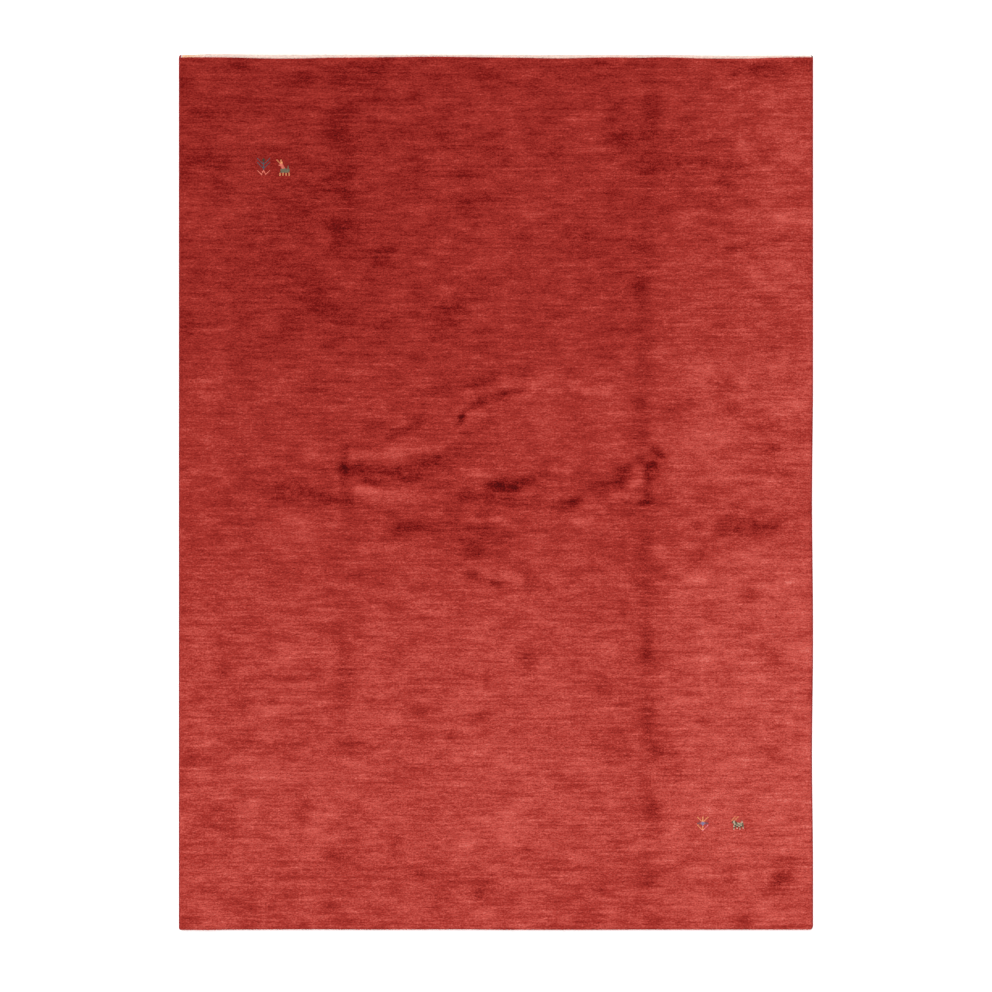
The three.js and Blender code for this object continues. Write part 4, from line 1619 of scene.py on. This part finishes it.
@dataclass
class WovenEnd:
    """The cream web beyond the farthest knots: a thin strip with rows of weft beads on it."""

    shop: Workshop
    body: PileBody
    thickness: float = 0.0022
    tuck: float = 0.005
    cord: float = 0.0063  # the side cord and the gap to it
    rows: tuple[float, ...] = (0.0014, 0.0038, 0.0062, 0.0086, 0.0110)  # in from the outer edge
    pitch: float = 0.0056
    bead: tuple[float, float, float] = (0.0033, 0.0015, 0.0009)
    under: float = 0.002  # how far beads lie in under the knots
    shake: float = 0.0003
    variety: Variety = Variety((0.0, 0.0, 0.12), 0.85, 1.1)
    cream: Colour = linear(246, 226, 214)
    peach: Colour = linear(248, 208, 172)
    peach_reach: float = -0.78
    peach_fade: float = 0.05
    seed: int = 71

    def _core(self) -> bpy.types.Object:
        """The strip itself."""
        plan, half = self.shop.plan, self.shop.plan.half
        columns = self.body.columns
        outer = plan.web(columns * half)
        inner = plan.far(columns * half) - self.tuck
        easing = self.thickness / 4
        section = [
            (inner, 0),
            (outer - easing, 0),
            (outer, easing),
            (outer, self.thickness - easing),
            (outer - easing, self.thickness),
            (inner, self.thickness),
        ]
        rings = np.empty((len(columns), len(section), 3))
        for k, (y, z) in enumerate(section):
            rings[:, k, 0] = columns * (plan.side(columns, y) - self.cord)
            rings[:, k, 1] = y
            rings[:, k, 2] = z
        return MeshKit.add("web_core", *MeshKit.tube(rings))

    def _beads(self) -> bpy.types.Object:
        """Points of the weft beads in their rows, every other row half a step on."""
        plan = self.shop.plan
        draw = np.random.default_rng(self.seed)
        x_all, y_all = [], []
        for number, inset in enumerate(self.rows):
            count = int(2 * plan.half / self.pitch)
            x = (np.arange(count) - (count - 1) / 2 + number % 2 / 2) * self.pitch
            y = plan.web(x) - inset
            keep = np.abs(x) < plan.side(x, y) - self.cord - self.bead[0]
            keep &= y > plan.far(x) - self.under
            x_all.append(x[keep])
            y_all.append(y[keep])
        x, y = np.concatenate(x_all), np.concatenate(y_all)
        y = y + draw.uniform(-self.shake, self.shake, len(y))
        return MeshKit.seats("woven_end", [x, y, np.full_like(x, self.thickness)])

    def build(self, finish: bpy.types.Material) -> bpy.types.Object:
        """Make the web in its finish and return the piece."""
        shape, core = Shapes.bead(*self.bead, sides=6, rings=2), self._core()
        values = self.variety.inputs(shape, finish, self.seed) | {"Core": core}
        piece = self.shop.rows.grow(self._beads(), values)
        MeshKit.drop(shape, core)
        x = MeshKit.places(piece.data)[:, 0]
        share = np.clip((self.peach_reach - x) / self.peach_fade, 0, 1)[:, None]
        colour = (1 - share) * np.array([*self.cream, 1]) + share * np.array([*self.peach, 1])
        MeshKit.store(piece.data, "dye", colour)
        return self.shop.finish(piece, Slot.WEB, ["end_web"])


@dataclass
class WrappedSide:
    """An overcast side cord: a core with crimson yarn wrapped round it, turn by turn."""

    shop: Workshop
    side: Side
    colour: Colour
    size: float = 0.006
    pitch: float = 0.0026
    yarn: float = 0.0009
    slant: float = 0.0016
    end_back: float = 0.001
    tip: tuple[float, ...] = (0.0, 0.0015, 0.004, 0.008, 0.014)
    tip_scale: float = 0.6
    core_steps: int = 62
    core_sides: int = 8
    turn_sides: int = 8
    yarn_sides: int = 3
    variety: Variety = Variety((0.05, 0.3, 0.05), 0.96, 1.0)
    seed: int = 80  # the left side takes 1 off and the right side adds 1
    nub: Colour | None = None  # colour of the far tip
    nub_length: float = 0.006

    @property
    def label(self) -> str:
        """The side in words."""
        return self.side.name.lower()

    def _ends(self) -> tuple[float, float]:
        """Y of the cord's near and far tip."""
        edge = np.array([self.side.value * self.shop.plan.half])
        return float(self.shop.plan.near(edge)[0]) + self.end_back, float(self.shop.plan.web(edge)[0])

    def _middle(self, y: np.ndarray) -> np.ndarray:
        """X of the cord's middle line."""
        return self.side.value * (self.shop.plan.reach(self.side, y) - self.size / 2)

    def _core(self) -> bpy.types.Object:
        """The warps inside the wrapping."""
        start, end = self._ends()
        tip = np.array(self.tip)
        even = np.linspace(start, end, self.core_steps)[1:-1]
        y = np.concatenate([start + tip, even, (end - tip)[::-1]])
        radius = (self.size / 2 - self.yarn) * np.where((y == start) | (y == end), self.tip_scale, 1)
        around = 2 * math.pi * (np.arange(self.core_sides) + 0.5) / self.core_sides
        rings = np.empty((len(y), self.core_sides, 3))
        rings[..., 0] = self._middle(y)[:, None] + radius[:, None] * np.sin(around)
        rings[..., 1] = y[:, None]
        rings[..., 2] = self.size / 2 + radius[:, None] * np.cos(around)
        return MeshKit.add("cord_core", *MeshKit.tube(rings))

    def _turns(self) -> bpy.types.Object:
        """Points of the wrapped turns with their headings along the cord."""
        start, end = self._ends()
        margin = self.yarn + self.slant / 2
        y = np.arange(start + margin, end - margin, self.pitch)
        x = self._middle(y)
        lean = np.arctan(np.gradient(x, y))
        apart = np.minimum(y - start, end - y)
        size = np.clip(self.tip_scale + apart / self.tip[2] * (1 - self.tip_scale), 0, 1)
        places = [x, y, np.full_like(x, self.size / 2)]
        heading, scale = [0 * x, 0 * x, -lean], [size, np.ones_like(x), size]
        return MeshKit.seats(f"wrapped_side_{self.label}", places, heading, scale)

    def build(self, finish: bpy.types.Material) -> bpy.types.Object:
        """Make the cord in its finish and return the piece."""
        radius = self.size / 2 - self.yarn
        shape = Shapes.turn(radius, self.yarn, self.slant, self.turn_sides, self.yarn_sides)
        core = self._core()
        values = self.variety.inputs(shape, finish, self.seed + self.side.value) | {"Core": core}
        piece = self.shop.rows.grow(self._turns(), values)
        MeshKit.drop(shape, core)
        y = MeshKit.places(piece.data)[:, 1]
        tip = (y > self._ends()[1] - self.nub_length) & (self.nub is not None)
        other = self.nub or self.colour
        MeshKit.store(piece.data, "dye", np.where(tip[:, None], (*other, 1), (*self.colour, 1)))
        return self.shop.finish(piece, Slot.CORD, [f"side_cord_{self.label}"])


@dataclass
class Studio:
    """Floor, light and camera for the photo's view straight from above."""

    distance: float = 12.0
    sensor: float = 36.0
    view_size: float = 2.6727  # of the floor that the picture shows
    centre: tuple[float, float] = (0.0002, -0.0106)
    sky: float = 0.72
    sun: float = 1.65
    sun_angle: float = 24.0
    sun_from: tuple[float, float, float] = (-0.35, 0.75, 1.0)
    floor_size: float = 60.0
    floor_drop: float = 0.0002  # below the rug
    floor_white: float = 0.92
    floor_roughness: float = 0.9
    floor_glow: float = 0.4
    sight: float = 100.0  # how far the camera sees

    def build(self) -> None:
        """Set up the stage."""
        self._floor()
        self._light()
        self._camera()
        bpy.context.scene.view_settings.view_transform = "Standard"

    def _floor(self) -> None:
        """A white floor just below the rug."""
        half = self.floor_size / 2
        corners = [(-half, -half, 0), (half, -half, 0), (half, half, 0), (-half, half, 0)]
        floor = MeshKit.add("floor", np.array(corners) - (0, 0, self.floor_drop), [(0, 1, 2, 3)])
        material = bpy.data.materials.new("white_floor")
        material.use_nodes = True
        shader = material.node_tree.nodes["Principled BSDF"]
        shader.inputs["Base Color"].default_value = (*[self.floor_white] * 3, 1)
        shader.inputs["Roughness"].default_value = self.floor_roughness
        shader.inputs["Emission Color"].default_value = (1, 1, 1, 1)
        shader.inputs["Emission Strength"].default_value = self.floor_glow
        floor.data.materials.append(material)
        floor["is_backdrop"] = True

    def _light(self) -> None:
        """An even sky and a broad sun from the far left."""
        world = bpy.data.worlds.new("sky")
        bpy.context.scene.world = world
        world.use_nodes = True
        background = world.node_tree.nodes["Background"]
        background.inputs["Color"].default_value = (1, 1, 1, 1)
        background.inputs["Strength"].default_value = self.sky
        light = bpy.data.lights.new("sun", "SUN")
        light.energy = self.sun
        light.angle = math.radians(self.sun_angle)
        lamp = bpy.data.objects.new("sun", light)
        lamp.rotation_euler = Vector(self.sun_from).to_track_quat("Z", "Y").to_euler()
        bpy.context.scene.collection.objects.link(lamp)

    def _camera(self) -> None:
        """A long lens straight above the rug."""
        data = bpy.data.cameras.new("camera")
        data.sensor_width = self.sensor
        data.lens = self.sensor * self.distance / self.view_size
        data.clip_end = self.sight
        camera = bpy.data.objects.new("camera", data)
        camera.location = (*self.centre, self.distance)
        bpy.context.scene.collection.objects.link(camera)
        bpy.context.scene.camera = camera


def main() -> None:
    """Build the rug and its stage, and report each piece."""
    logging.basicConfig(level=logging.INFO, format="%(message)s")
    groups = WoolGroups()
    shop = Workshop(RugPlan(frame["nodes"]), WearAndShading(), ScatterTree(), RowTree(), groups)
    pile = PileWool("red_pile").dress(groups)
    back = PileWool("knotted_back", patches=0.2, streaks=0.2, dashes=0.9, grain=0.5).dress(groups)
    small = {"clouds": 0.1, "patches": 0.1, "streaks": 0.1, "dashes": 0.2, "grain": 0.4}
    dyed_and_shaded = Wool("dyed_knots", **small).dress(groups)
    cream = Wool("cream_web", **small).dress(groups)
    crimson = Wool("crimson_yarn", **small).dress(groups)

    body = PileBody(shop)
    cloth = body.build(pile, back)
    motifs = [
        MotifKnots(shop, body, "motifs_far_left", FAR_MOTIFS, 51),
        MotifKnots(shop, body, "motifs_near_right", NEAR_MOTIFS, 52),
    ]
    sources = [group.points() for group in motifs]
    places = np.concatenate([MeshKit.places(source.data) for source in sources])
    knots = MeshKit.add("knot_points", places, [])
    parts = PileLocks(shop, body).build(pile, knots)
    MeshKit.drop(knots)
    parts.append(EdgeTufts(shop, body).build(pile))
    parts += [group.build(source, dyed_and_shaded) for group, source in zip(motifs, sources)]
    parts.append(WovenEnd(shop, body).build(cream))
    parts.append(WrappedSide(shop, Side.LEFT, linear(166, 46, 48)).build(crimson))
    right = WrappedSide(shop, Side.RIGHT, linear(178, 50, 50), nub=linear(138, 118, 104))
    parts.append(right.build(crimson))
    Studio().build()


if __name__ == "__main__":
    main()
